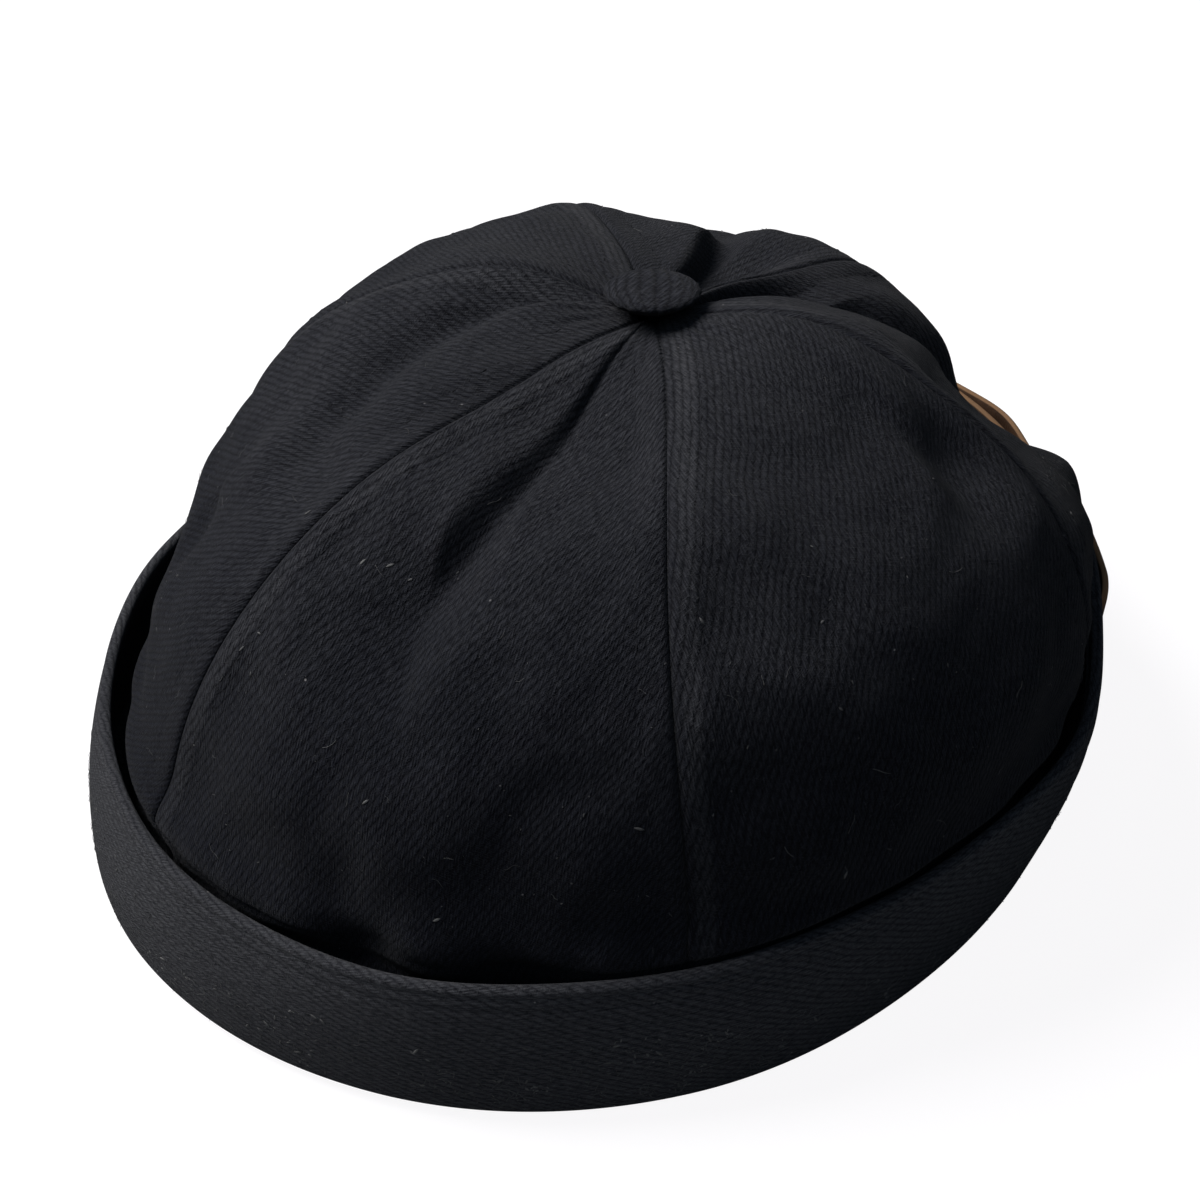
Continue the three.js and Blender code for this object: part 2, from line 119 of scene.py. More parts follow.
def cuff_top(angle):
    """Height of the band's top edge: a wavy edge with rounded corners where it is cut down at the slit."""
    turns = np.radians(angle)
    top = round_turn(CUFF["height"], angle)
    top = top + sum(h * np.sin(n * turns + n) for n, h in zip(CUFF_WAVES["turns"], CUFF_WAVES["height"]))
    away = np.abs((angle - SLIT["middle"] + 180) % 360 - 180) - SLIT["half"]
    beyond = np.radians(away) * round_turn(CUFF["top"], angle)
    corner = SLIT["corner"]
    bend = corner - np.clip(beyond, 0, corner)
    full = top - corner + np.sqrt(corner**2 - bend**2)
    return SLIT["floor"] + (full - SLIT["floor"]) * np.clip(1 + beyond / SLIT["side"], 0, 1)


def cuff_points(angle):
    """The band's section swept round the cap: down the outer face, under the fold, up and over the inner
    leg, across the channel, up the inside and over the top edge in a half circle."""
    fold = round_turn(CUFF["fold"], angle)
    inner = fold - CUFF_DEPTH
    back = inner - CLOTH
    top = cuff_top(angle)
    leg_top = CROWN_EDGE - CLOTH / 2 + LEG_LAP
    channel = CUFF_WALL + CHANNEL_ROUND

    def face(share, low, inward, groove):
        """Radii and heights up the band's face, set inward from it and grooved along the hem."""
        height = low + (top - CUFF_WALL / 2 - low) * np.asarray(share)[:, None]
        radius = cuff_radius(angle, height) + cuff_swell(angle, height) - inward
        return radius + groove * hem_lines(top - height), height

    def turn(radius, height, size, start, end, count):
        """Radii and heights round an arc of the section about a place."""
        bend = np.radians(np.linspace(start, end, count))[:, None]
        return radius + size * np.cos(bend), height + size * np.sin(bend) + 0 * fold

    foot = np.radians(np.linspace(15, 90, CUFF_ROWS["foot"]))[:, None]
    foot_height = FOLD_ROUND * (1 - np.sin(foot)) + 0 * fold
    edge_radius, edge_height = face([1], FOLD_ROUND, CUFF_WALL / 2, 0)
    crowded = 1 - np.linspace(0, 1, CUFF_ROWS["face"]) ** CUFF_ROWS["crowding"]
    parts = [
        face(crowded, FOLD_ROUND, 0, -HEM_LINES["outside"]),
        (cuff_radius(angle, foot_height) - FOLD_ROUND * (1 - np.cos(foot)), foot_height),
        turn(back + FOLD_ROUND, FOLD_ROUND, FOLD_ROUND, 270, 180, CUFF_ROWS["heel"]),
        turn(back + CLOTH / 2, leg_top, CLOTH / 2, 180, 0, CUFF_ROWS["leg"]),
        turn(inner + CHANNEL_ROUND, channel, CHANNEL_ROUND, 180, 270, CUFF_ROWS["channel"]),
        face(crowded[::-1], channel, CUFF_WALL, HEM_LINES["inside"]),
        turn(edge_radius, edge_height, CUFF_WALL / 2, 160, 20, CUFF_ROWS["edge"]),
    ]
    return polar(np.vstack([p[0] for p in parts]), angle, np.vstack([p[1] for p in parts]))


def run_along(points, axis):
    """Length along a grid of points from its first line, measured down the rows or across the columns."""
    steps = np.linalg.norm(np.diff(points, axis=axis), axis=-1)
    start = np.zeros_like(np.take(steps, [0], axis=axis))
    return np.concatenate([start, np.cumsum(steps, axis=axis)], axis=axis)


def smooth_object(name, mesh, material):
    """Object of a mesh that is shaded smooth and has one material."""
    mesh.polygons.foreach_set("use_smooth", np.ones(len(mesh.polygons), bool))
    mesh.materials.append(material)
    made = bpy.data.objects.new(name, mesh)
    bpy.context.collection.objects.link(made)
    return made


def grid_object(name, points, lengths, material, ring=False, tube=False, paling=None):
    """Object on a grid of points, with the cloth's own lengths as its UV map. A ring joins its last column
    to its first and a tube its last row to its first, and their lengths hold one line more."""
    rows, columns = points.shape[:2]
    row = np.arange(rows if tube else rows - 1)[:, None]
    column = np.arange(columns if ring else columns - 1)[None, :]
    order = ((0, 0), (1, 0), (1, 1), (0, 1))
    faces = np.stack([((row + i) % rows) * columns + (column + j) % columns for i, j in order], axis=-1)
    mesh = bpy.data.meshes.new(name)
    mesh.from_pydata((points * MM).reshape(-1, 3), [], faces.reshape(-1, 4))
    places = np.stack([lengths[row + i, column + j] for i, j in order], axis=-2)
    mesh.uv_layers.new(name="cloth").data.foreach_set("uv", places.astype(np.float32).ravel())
    if paling is not None:
        paling_layer = mesh.attributes.new("paling", "FLOAT", "POINT")
        paling_layer.data.foreach_set("value", paling.astype(np.float32).ravel())
    return smooth_object(name, mesh, material)


class Shade:
    """A shader value. Operators on it add Math nodes, and node() adds any other node to its tree."""

    def __init__(self, tree, socket=None):
        self.tree = tree
        self.socket = socket

    def node(self, kind, settings, values, output=0):
        """Adds a node of a kind with its settings and its sockets' values or links, and gives an output."""
        made = self.tree.nodes.new(kind)
        for name, setting in settings.items():
            setattr(made, name, setting)
        for key, value in values.items():
            if isinstance(value, Shade):
                self.tree.links.new(value.socket, made.inputs[key])
            else:
                made.inputs[key].default_value = value
        return Shade(self.tree, made.outputs[output])

    def output(self, index):
        """Another output of the same node."""
        return Shade(self.tree, self.socket.node.outputs[index])

    def math(self, operation, *values):
        """A Math node on these values."""
        return self.node("ShaderNodeMath", {"operation": operation}, dict(enumerate(values)))

    def mix(self, factor, low, high):
        """Colour between two colours by a factor."""
        return self.node("ShaderNodeMix", {"data_type": "RGBA"}, {0: factor, 6: low, 7: high}, output=2)

    def noise(self, place, scale, detail=2):
        """Noise about 0.5 at a place."""
        return self.node("ShaderNodeTexNoise", {}, {"Vector": place, "Scale": scale, "Detail": detail})

    def ramp(self, low, high):
        """This value as 0 at a low end to 1 at a high end, clamped."""
        ends = {0: self, 1: low, 2: high, 3: 0, 4: 1}
        return self.node("ShaderNodeMapRange", {"clamp": True}, ends)

    def place(self):
        """The place on the object, in metres."""
        return self.node("ShaderNodeTexCoord", {}, {}, output=3)

    def cloth(self):
        """The place on the piece's own map, in millimetres of cloth or leather."""
        return self.node("ShaderNodeUVMap", {"uv_map": "cloth"}, {})

    def paling(self):
        """How far each point is paled: by wear on the cloth and raw edges on the leather, and on the cloth
        partly by painted light.
        """
        return self.node("ShaderNodeAttribute", {"attribute_name": "paling"}, {}, output=2)

    def bump(self, height, strength, distance):
        """A normal bent by a height."""
        values = {"Strength": strength, "Distance": distance, "Height": height}
        return self.node("ShaderNodeBump", {}, values)

    def __add__(self, other):
        return self.math("ADD", self, other)

    def __radd__(self, other):
        return self.math("ADD", other, self)

    def __sub__(self, other):
        return self.math("SUBTRACT", self, other)

    def __rsub__(self, other):
        return self.math("SUBTRACT", other, self)

    def __mul__(self, other):
        return self.math("MULTIPLY", self, other)

    def __rmul__(self, other):
        return self.math("MULTIPLY", other, self)

    def __truediv__(self, other):
        return self.math("DIVIDE", self, other)

    def __pow__(self, other):
        return self.math("POWER", self, other)


def new_material(name):
    """An empty material and a Shade that adds nodes to it."""
    material = bpy.data.materials.new(name)
    material.use_nodes = True
    material.node_tree.nodes.clear()
    return material, Shade(material.node_tree)


def finish_material(shade, values):
    """Ends a material with a Principled shader of these values."""
    surface = shade.node("ShaderNodeBsdfPrincipled", {}, values)
    end = shade.tree.nodes.new("ShaderNodeOutputMaterial")
    shade.tree.links.new(surface.socket, end.inputs["Surface"])


YARN = {"pitch": 0.5, "float": 2.6, "step": 1 / 3, "wander": 0.9, "jitter": 0.3, "dive": 0.7, "flat": 0.5}
TWILL_SCALE = {"wander": 0.09, "jitter": 0.7, "faded": 22, "fuzz": 1.7, "nap": 3.4, "nap_patches": 0.3}
STROKE = (1.7, 0.45)
FIBRE = (2.4, 0.24)
FIBRE_TURNS = (0.4, 1.5, 2.6)
SPECK = {"scale": 0.22, "size": 0.055, "soft": 0.03, "rarity": 0.55, "colour": (0.2, 0.19, 0.19, 1)}
TWILL_BUMP = {"strength": 0.8, "distance": 0.00028}
WEAR_AND_LIGHT_GREY = (0.06, 0.06, 0.065, 1)
LEAST_WEAR = 0.02


def stretched_noise(shade, place, turn, size):
    """Noise drawn out along a direction, with features of a length and a width."""
    settings = {"vector_type": "TEXTURE"}
    values = {"Vector": place, "Rotation": (0, 0, turn), "Scale": (*size, 1)}
    return shade.noise(shade.node("ShaderNodeMapping", settings, values), 1, 2)


def twill_material(name, yarn, shadow, dust):
    """Twill of warp floats: round yarns side by side, whose floats start one step higher from yarn to yarn
    and so make ribs that climb to the right. Worn crests, nap, faded patches and dust lighten it, and so
    does the paling given to each point, which holds wear and painted light."""
    material, shade = new_material(name)
    cloth = shade.cloth()
    across = shade.node("ShaderNodeSeparateXYZ", {}, {0: cloth})
    down = across.output(1)
    slow, quick = (shade.noise(cloth, TWILL_SCALE[pace]) for pace in ("wander", "jitter"))
    wander = slow * YARN["wander"] + quick * YARN["jitter"]
    column = across / YARN["pitch"] + wander
    index = column.math("FLOOR", column)
    beside = column - index
    rise = down / YARN["float"] + column * YARN["step"] + wander
    along = rise.math("FRACT", rise)
    round_yarn = 4 * beside * (1 - beside)
    dive = (along * np.pi).math("SINE", along * np.pi) ** YARN["dive"]
    height = (YARN["flat"] + (1 - YARN["flat"]) * round_yarn) * dive
    each = shade.node("ShaderNodeTexWhiteNoise", {"noise_dimensions": "1D"}, {"W": index})
    place = shade.place()
    faded = shade.noise(place, TWILL_SCALE["faded"], 4).ramp(0.35, 0.75)
    fuzz = shade.noise(cloth, TWILL_SCALE["fuzz"], 4)
    strokes = stretched_noise(shade, cloth, np.pi / 2, STROKE).ramp(0.36, 0.64)
    napped = shade.noise(cloth, TWILL_SCALE["nap_patches"], 3).ramp(0.4, 0.7)
    nap = shade.noise(cloth, TWILL_SCALE["nap"], 3).ramp(0.5, 0.72) * napped
    fibres = sum(stretched_noise(shade, cloth, turn, FIBRE).ramp(0.53, 0.68) for turn in FIBRE_TURNS)
    paling = shade.paling()
    light = (0.06 + 0.94 * height) * (0.7 + 0.3 * each) * (0.35 + 1.1 * strokes)
    colour = shade.mix(light, shadow, yarn)
    crests = (0.2 + 0.8 * height) * (0.55 + 0.9 * faded) * (0.4 + 1.2 * strokes)
    rubbed = crests + nap * 0.6 + fibres * 0.5
    # The paling mixes in a pale grey: real wear, and on the crown's top and over the cuff painted light.
    pale = ((paling + LEAST_WEAR) * rubbed).ramp(0, 1)
    colour = shade.mix(pale, colour, WEAR_AND_LIGHT_GREY)
    cells = shade.node("ShaderNodeTexVoronoi", {}, {"Vector": cloth, "Scale": SPECK["scale"]})
    kept = shade.node("ShaderNodeSeparateColor", {}, {0: cells.output(1)})
    speck = (SPECK["size"] - cells).ramp(0, SPECK["soft"]) * (kept - SPECK["rarity"]).ramp(0, 0.4)
    colour = shade.mix(speck * dust, colour, SPECK["colour"])
    rough = height * 0.8 + strokes * 0.4 + fuzz * 0.5 + nap * 0.5 + fibres * 0.4
    bump = shade.bump(rough, **TWILL_BUMP)
    finish_material(shade, {
        "Base Color": colour,
        "Roughness": 0.95,
        "Specular IOR Level": 0.02,
        "Sheen Weight": 0.035,
        "Sheen Roughness": 0.5,
        "Normal": bump,
    })
    return material


# The band's copy of the twill is paler than the crown's: partly its own fading and dust, partly painted
# light for the light it catches from the table and from the front.
CUFF_FADED_AND_LIT_CLOTH = {"yarn": (0.028, 0.029, 0.034, 1), "shadow": (0.004, 0.004, 0.006, 1), "dust": 0.9}
CUFF_WEAR_AND_LIGHT = {"all": 0.36, "edges": 0.1, "outer_rows": 5, "inner_rows": 3}
CUFF_FADED_AND_LIT_TWILL = twill_material("cuff_cloth_faded_and_lit", **CUFF_FADED_AND_LIT_CLOTH)

slit_ends = SLIT["middle"] + SLIT["half"] * np.array([-1, 1])
near_slit = np.linspace(*CUFF_COLUMNS["slit_span"], CUFF_COLUMNS["slit"])
even_angles = np.linspace(0, 360, CUFF_COLUMNS["round"])
round_angles = np.concatenate([even_angles, slit_ends[0] - near_slit, slit_ends[1] + near_slit])
cuff_angles = SLIT["middle"] + np.unique(np.round((round_angles - SLIT["middle"]) % 360, 3))
cuff_grid = cuff_points(cuff_angles)
closed = np.concatenate([cuff_grid, cuff_grid[:1]], axis=0)
closed = np.concatenate([closed, closed[:, :1]], axis=1)
closed_angles = np.append(cuff_angles, cuff_angles[0] + 360)
turned_cloth = np.radians(90 - round_turn(CUFF["warp"], closed_angles))
strides = np.radians(np.diff(closed_angles, prepend=cuff_angles[0])) * np.mean(CUFF["fold"])
fallen = run_along(closed, 0)
cuff_across = np.cumsum(np.cos(turned_cloth) * strides) + fallen * np.sin(turned_cloth)
cuff_down = fallen * np.cos(turned_cloth) - np.cumsum(np.sin(turned_cloth) * strides)
cuff_row = np.arange(len(cuff_grid))[:, None]
rolled = hump(cuff_row, 0, CUFF_WEAR_AND_LIGHT["outer_rows"]) + hump(cuff_row, len(cuff_grid), CUFF_WEAR_AND_LIGHT["inner_rows"])
cuff = grid_object(
    "cuff_band",
    cuff_grid,
    np.stack([cuff_across, cuff_down], axis=-1),
    CUFF_FADED_AND_LIT_TWILL,
    ring=True,
    tube=True,
    # Paled all over, partly by wear and partly as painted light, and more at the rolled edges by wear.
    paling=CUFF_WEAR_AND_LIGHT["all"] + CUFF_WEAR_AND_LIGHT["edges"] * rolled + 0 * cuff_angles,
)
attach(cuff, "root")
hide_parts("cuff")

# Crown
# Six gores of the same twill, sewn edge to edge. Each seam is pressed open and held down by a row of
# stitches on both sides, and the cloth has slumped into soft dents between the seams.
CROWN_TOP = 105
CROWN_LEAN = {"x": 10, "y": 9.5, "power": 1.2}
WALL_CENTRE = 20
TOP_HOLE = 3
WIDEST_AT = 0.7
TUCK_SOFT = 0.6
RIM_ROLL = 1.4
ROLL_OUT = (3.5, 3.5, 1, 0, 0, 1.5)
ROLL_ZONE = {"at": 1, "width": 6}
POCKETS = ((28, 4.5), (43, 4))
POCKET_ZONE = {"at": -1, "width": 6}
POCKET_WIDTH = 5
PANEL_SPAN = 60
SEAMS = {
    "reach": (98, 98, 101, 95, 96, 83),
    "widest": (32, 36, 42, 36, 32, 31),
    "power": (2.4, 2.3, 2.2, 2.15, 2.35, 2.7),
    "dip": (4, 2, -4, 4, 2, -3),
    "waist": (0, 0, 0, 14, 0, 1),
    "swing": (0, -7, -3, 0, 0, 0),
    "sway": (0, 0, -4, 0, 0, 0),
}
TOP_DIP = {"at": 0.35, "width": 0.22}
TOP_WELL = {"at": 0, "width": 16}
WELL_DEPTH = 3.6
WAIST = {"at": 0.54, "width": 0.13}
SWING_ENDS = {"at": 0.68, "power": 0.65}
SWAY_ZONE = {"at": 0.54, "width": 0.14}
PANELS = {
    "name": ("front_left", "side_left", "back_left", "back_right", "side_right", "front_right"),
    "sag": (2, 1, 6, -1, 1, 2),
    "belly": (1, 0, 4, 3, 2, -3),
    "grain": (0, 0, 0, 0, 0, 20),
}
SAG_ZONE = {"at": 0.35, "width": 0.18}
BELLY_ZONE = {"at": 0.66, "width": 0.2}
FOLDS = (
    {"panel": 0, "down": (0.16, 0.38), "across": (-0.04, -0.22), "depth": 5, "width": 12},
    {"panel": 1, "down": (0.23, 0.3), "across": (0.55, 0.66), "depth": 3, "width": 9},
    {"panel": 2, "down": (0.1, 0.42), "across": (0.3, 0.1), "depth": 9, "width": 12},
    {"panel": 2, "down": (0.28, 0.36), "across": (-0.7, -0.7), "depth": 3.5, "width": 9},
    {"panel": 2, "down": (0.58, 0.63), "across": (-0.1, 0.05), "depth": -4, "width": 9},
    {"panel": 3, "down": (0.1, 0.3), "across": (-0.25, 0), "depth": 6, "width": 13},
    {"panel": 5, "down": (0.1, 0.31), "across": (-0.5, 0.44), "depth": 4, "width": 8},
    {"panel": 5, "down": (0.44, 0.5), "across": (0, 0.05), "depth": 3, "width": 9},
)
FOLD_SPAN = {"down": 140, "across": 45, "narrowest": 0.1}
CRUMPLE = {"length": (34, 25, 18, 11), "turn": (25, 70, 130, 50), "height": (0.5, 0.4, 0.25, 0.12)}
CRUMPLE_BEND = {"turn": 37, "depth": 1.5, "length": 2.3, "fade": (4, 16)}
BUTTON_PULL = {"at": 13, "width": 6, "height": 0.2, "waves": 2.5}
SEAM = {"groove": 0.55, "groove_width": 0.5, "raised": 0.16, "row": 5.7, "stiff": 7}
SEAM_RIDGE = {"rise": (0.2, 2), "fall": (-1, 2.5), "first": 1.2, "second": 0.8}
DIMPLE = {"depth": 0.12, "width": 0.7, "pucker": 0.5}
STITCH = {"pitch": 3.4, "length": 2.2, "thick": 0.42, "sunk": 0.8}


def gore_half(panel, down):
    """Half the width of a gore at a place down it, on the arc of its own sixth of the turn."""
    middle = PANEL_SPAN * (panel + 0.5)
    sweep = np.minimum(down / WIDEST_AT, 1) * np.pi / 2
    out = np.sin(sweep) ** (2 / round_turn(SEAMS["power"], middle))
    return round_turn(SEAMS["reach"], middle) * out * np.radians(PANEL_SPAN / 2)


def fold_depth(panel, down, across):
    """How deep the folds press in: a smooth trough about each fold's line, by the distance from it."""
    depth = np.zeros(np.broadcast(down, across).shape)
    narrowing = np.clip(down / WIDEST_AT, FOLD_SPAN["narrowest"], 1)
    for fold in (row for row in FOLDS if row["panel"] == panel):
        (top, low), (first, last) = fold["down"], fold["across"]
        run = np.array([low - top, last - first])
        along = np.clip(((down - top) * run[0] + (across - first) * run[1]) / (run @ run), 0, 1)
        away_down = (down - top - along * run[0]) * FOLD_SPAN["down"]
        away_across = (across - first - along * run[1]) * FOLD_SPAN["across"] * narrowing
        depth = depth + fold["depth"] * hump(np.hypot(away_down, away_across), 0, fold["width"])
    half = gore_half(panel, down)
    return depth * smooth_step((1 - np.abs(across)) * half, 0, np.minimum(SEAM["stiff"], half / 2))


def seam_relief(panel, down, across):
    """Rise of the cloth beside a seam: a groove at the seam, a ridge over the turned edge, and a row of
    dimples along the stitches."""
    beside = (1 - np.abs(across)) * gore_half(panel, down)
    along = down * FOLD_SPAN["down"]
    pucker = 1 + DIMPLE["pucker"] * np.cos(2 * np.pi * along / STITCH["pitch"])
    ridge = smooth_step(beside, *SEAM_RIDGE["rise"])
    ridge = ridge * (1 - smooth_step(beside - SEAM["row"], *SEAM_RIDGE["fall"]))
    ridge = ridge * np.where(across < 0, SEAM_RIDGE["first"], SEAM_RIDGE["second"])
    groove = SEAM["groove"] * hump(beside, 0, SEAM["groove_width"])
    dimple = DIMPLE["depth"] * pucker * hump(beside, SEAM["row"], DIMPLE["width"])
    return SEAM["raised"] * ridge - groove - dimple


def crumple(panel, down, across):
    """Slight unevenness of worn cloth: a few crossing waves, and puckers drawn in round the button."""
    half = gore_half(panel, down)
    inside = smooth_step((1 - np.abs(across)) * half, 0, SEAM["stiff"])
    x = across * half
    y = down * FOLD_SPAN["down"]
    rise = np.zeros(np.broadcast(down, across).shape)
    for k, (length, turn, height) in enumerate(zip(*CRUMPLE.values())):
        way = np.radians(turn + CRUMPLE_BEND["turn"] * panel)
        beside = (x * np.sin(way) - y * np.cos(way)) / (CRUMPLE_BEND["length"] * length)
        bend = CRUMPLE_BEND["depth"] * np.sin(2 * np.pi * beside + k + panel)
        along = (x * np.cos(way) + y * np.sin(way)) / length
        rise = rise + height * np.sin(2 * np.pi * along + bend + 2 * k)
    pull = hump(half / np.radians(PANEL_SPAN / 2), BUTTON_PULL["at"], BUTTON_PULL["width"])
    pucker = np.cos(2 * np.pi * BUTTON_PULL["waves"] * across + panel)
    return inside * (rise * smooth_step(half, *CRUMPLE_BEND["fade"]) + BUTTON_PULL["height"] * pull * pucker)


def brim_roll(angle, height):
    """The cloth rolls out over the cuff's top edge, and tucks in below it at a few pockets."""
    above = height - round_turn(CUFF["height"], angle)
    pockets = sum(depth * hump((angle - at + 180) % 360, 180, POCKET_WIDTH) for at, depth in POCKETS)
    return round_turn(ROLL_OUT, angle) * hump(above, **ROLL_ZONE) - pockets * hump(above, **POCKET_ZONE)


def crown_limit(angle, height):
    """The widest the crown may be: inside the cuff up to its top edge, then rolling out over the edge."""
    rim = round_turn(CUFF["height"], angle)
    inside = cuff_radius(angle, np.minimum(height, rim)) - CUFF_WALL - round_turn(CUFF["clear"], angle)
    return inside + RIM_ROLL * np.maximum(height - rim, 0)


def crown_point(panel, down, across):
    """A rounded-square dome on leaning rings from the top to its widest height, tucked in to the cuff below
    that, pushed in or out by the panel's form, folds, seams and crumples, and held inside the cuff."""
    angle = PANEL_SPAN * (panel + (across + 1) / 2)
    swing = np.sin(np.pi * np.minimum(down / SWING_ENDS["at"], 1) ** SWING_ENDS["power"])
    turned = angle + round_turn(SEAMS["swing"], angle) * swing
    turned = turned + round_turn(SEAMS["sway"], angle) * hump(down, **SWAY_ZONE)
    columns = ("reach", "widest", "power", "dip", "waist")
    reach, widest, power, dip, waist = (round_turn(SEAMS[column], turned) for column in columns)
    edge = round_turn(CUFF["fold"], turned) - CUFF_DEPTH
    sweep = np.minimum(down / WIDEST_AT, 1) * np.pi / 2
    out = np.sin(sweep) ** (2 / power)
    up = np.maximum(np.cos(sweep), 0) ** (2 / power)
    tuck = np.maximum(down - WIDEST_AT, 0) / (1 - WIDEST_AT)
    upper_height = widest + (CROWN_TOP - widest) * up - dip * hump(out, **TOP_DIP)
    upper_height = upper_height - WELL_DEPTH * hump(reach * out, **TOP_WELL)
    lower_radius = edge + (reach - edge) * np.cos(tuck * np.pi / 2)
    radius = np.where(down < WIDEST_AT, reach * out, lower_radius)
    height = np.where(down < WIDEST_AT, upper_height, widest + (CROWN_EDGE - widest) * tuck)
    point = polar(radius, turned, height)
    point[..., 0] += CROWN_LEAN["x"] * up ** CROWN_LEAN["power"]
    point[..., 1] += CROWN_LEAN["y"] * up ** CROWN_LEAN["power"]

    arch = np.cos(np.pi / 2 * across) ** 2
    form = PANELS["belly"][panel] * hump(down, **BELLY_ZONE) - PANELS["sag"][panel] * hump(down, **SAG_ZONE)
    push = arch * form - waist * hump(down, **WAIST) - fold_depth(panel, down, across)
    push = push + seam_relief(panel, down, across) + crumple(panel, down, across) + brim_roll(turned, height)
    outwards = point - np.array([0, 0, WALL_CENTRE])
    point = point + outwards / np.linalg.norm(outwards, axis=-1, keepdims=True) * push[..., None]

    spread = np.hypot(point[..., 0], point[..., 1])
    azimuth = np.degrees(np.arctan2(point[..., 0], -point[..., 1]))
    over = crown_limit(azimuth, point[..., 2]) - spread
    kept = spread - TUCK_SOFT * np.logaddexp(0, -over / TUCK_SOFT)
    point[..., :2] *= (kept / spread)[..., None]
    return point


def crown_start(panel, across):
    """How far down the gore the hole under the button ends, solved from the dome's own curve."""
    angle = PANEL_SPAN * (panel + (across + 1) / 2)
    part = (TOP_HOLE / round_turn(SEAMS["reach"], angle)) ** (round_turn(SEAMS["power"], angle) / 2)
    return np.arcsin(part) / (np.pi / 2) * WIDEST_AT


def thicken(made, wall):
    """Gives a sheet its wall, inward from its face."""
    inward = made.modifiers.new("wall", "SOLIDIFY")
    inward.thickness = wall * MM
    inward.offset = -1


CROWN_CLOTH = {"yarn": (0.0075, 0.0084, 0.0125, 1), "shadow": (0.0012, 0.0013, 0.0024, 1), "dust": 0.7}
CROWN_TWILL = twill_material("crown_cloth", **CROWN_CLOTH)
# Painted light and shade: the crown's cloth is paled more towards its top, and the button by a set amount,
# so the top looks lit and the lower crown stays darker.
TOP_PAINTED_LIGHT = {"start": 42, "end": 104, "amount": 0.19, "button": 0.16}
RIDGE_WEAR = {"amount": 0.2, "rise": (0.1, 0.25)}
GORE_GRID = {"down": 170, "across": 116, "crowding": 0.55}
GORES_APART = 200
panels = []
for panel, panel_name in enumerate(PANELS["name"]):
    even = np.linspace(-1, 1, GORE_GRID["across"])
    crowded = (1 - GORE_GRID["crowding"]) * even + GORE_GRID["crowding"] * np.sin(np.pi / 2 * even)
    start = crown_start(panel, crowded)
    down = start + (1 - start) * np.linspace(0, 1, GORE_GRID["down"])[:, None]
    across = crowded + 0 * down
    gore = crown_point(panel, down, across)
    middle = GORE_GRID["across"] // 2
    gore_across = run_along(gore, 1)
    gore_across = gore_across - gore_across[:, middle : middle + 1]
    gore_down = run_along(gore, 0)[:, middle : middle + 1] + 0 * gore_across
    ridge_wear = RIDGE_WEAR["amount"] * smooth_step(seam_relief(panel, down, across), *RIDGE_WEAR["rise"])
    grain = np.radians(PANELS["grain"][panel])
    warp_across = gore_across * np.cos(grain) + gore_down * np.sin(grain) + GORES_APART * panel
    warp_down = gore_down * np.cos(grain) - gore_across * np.sin(grain)
    made = grid_object(
        f"gore_{panel_name}",
        gore,
        np.stack([warp_across, warp_down], axis=-1),
        CROWN_TWILL,
        # Wear pales the seam ridges; painted light pales the cloth more towards the top, leaving the lower
        # crown darker as painted shade.
        paling=ridge_wear + TOP_PAINTED_LIGHT["amount"] * smooth_step(gore[..., 2], TOP_PAINTED_LIGHT["start"], TOP_PAINTED_LIGHT["end"]),
    )
    thicken(made, CLOTH)
    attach(made, "root")
    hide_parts(f"crown_panel_{panel_name}")
    panels.append({"object": made, "widths": np.ptp(gore_across, axis=1), "fall": gore_down[:, 0]})

# Seam stitches
# Two rows of thick black thread hold down each seam, one on each side of it, in stitches that sink into
# the cloth at both ends.
UNEVEN = 0.4
GOLDEN = 0.618
STITCH_RINGS = 7
STITCH_SIDES = 6
STITCH_ARCH = {"rise": 0.75, "power": 0.6}
STITCH_BULK = {"ends": 0.3, "middle": 0.7, "power": 0.4}
STITCH_ROW = {"start": 1.6, "end": 0.93, "points": 400, "top": 0.3, "top_points": 60}
THREAD_SCALE = {"twist": 420.0, "fuzz": 900}
THREAD_BUMP = {"strength": 0.6, "distance": 0.0001}
SEAM_COTTON = {"colour": (0.014, 0.0145, 0.017, 1), "shadow": (0.004, 0.004, 0.005, 1)}


def crown_normal(panel, down, across):
    """Unit normals of the crown, from its slopes down and across."""
    step = 0.002
    fall = crown_point(panel, down + step, across) - crown_point(panel, down - step, across)
    along = crown_point(panel, down, across + step) - crown_point(panel, down, across - step)
    normal = np.cross(fall, along)
    return normal / np.linalg.norm(normal, axis=-1, keepdims=True)


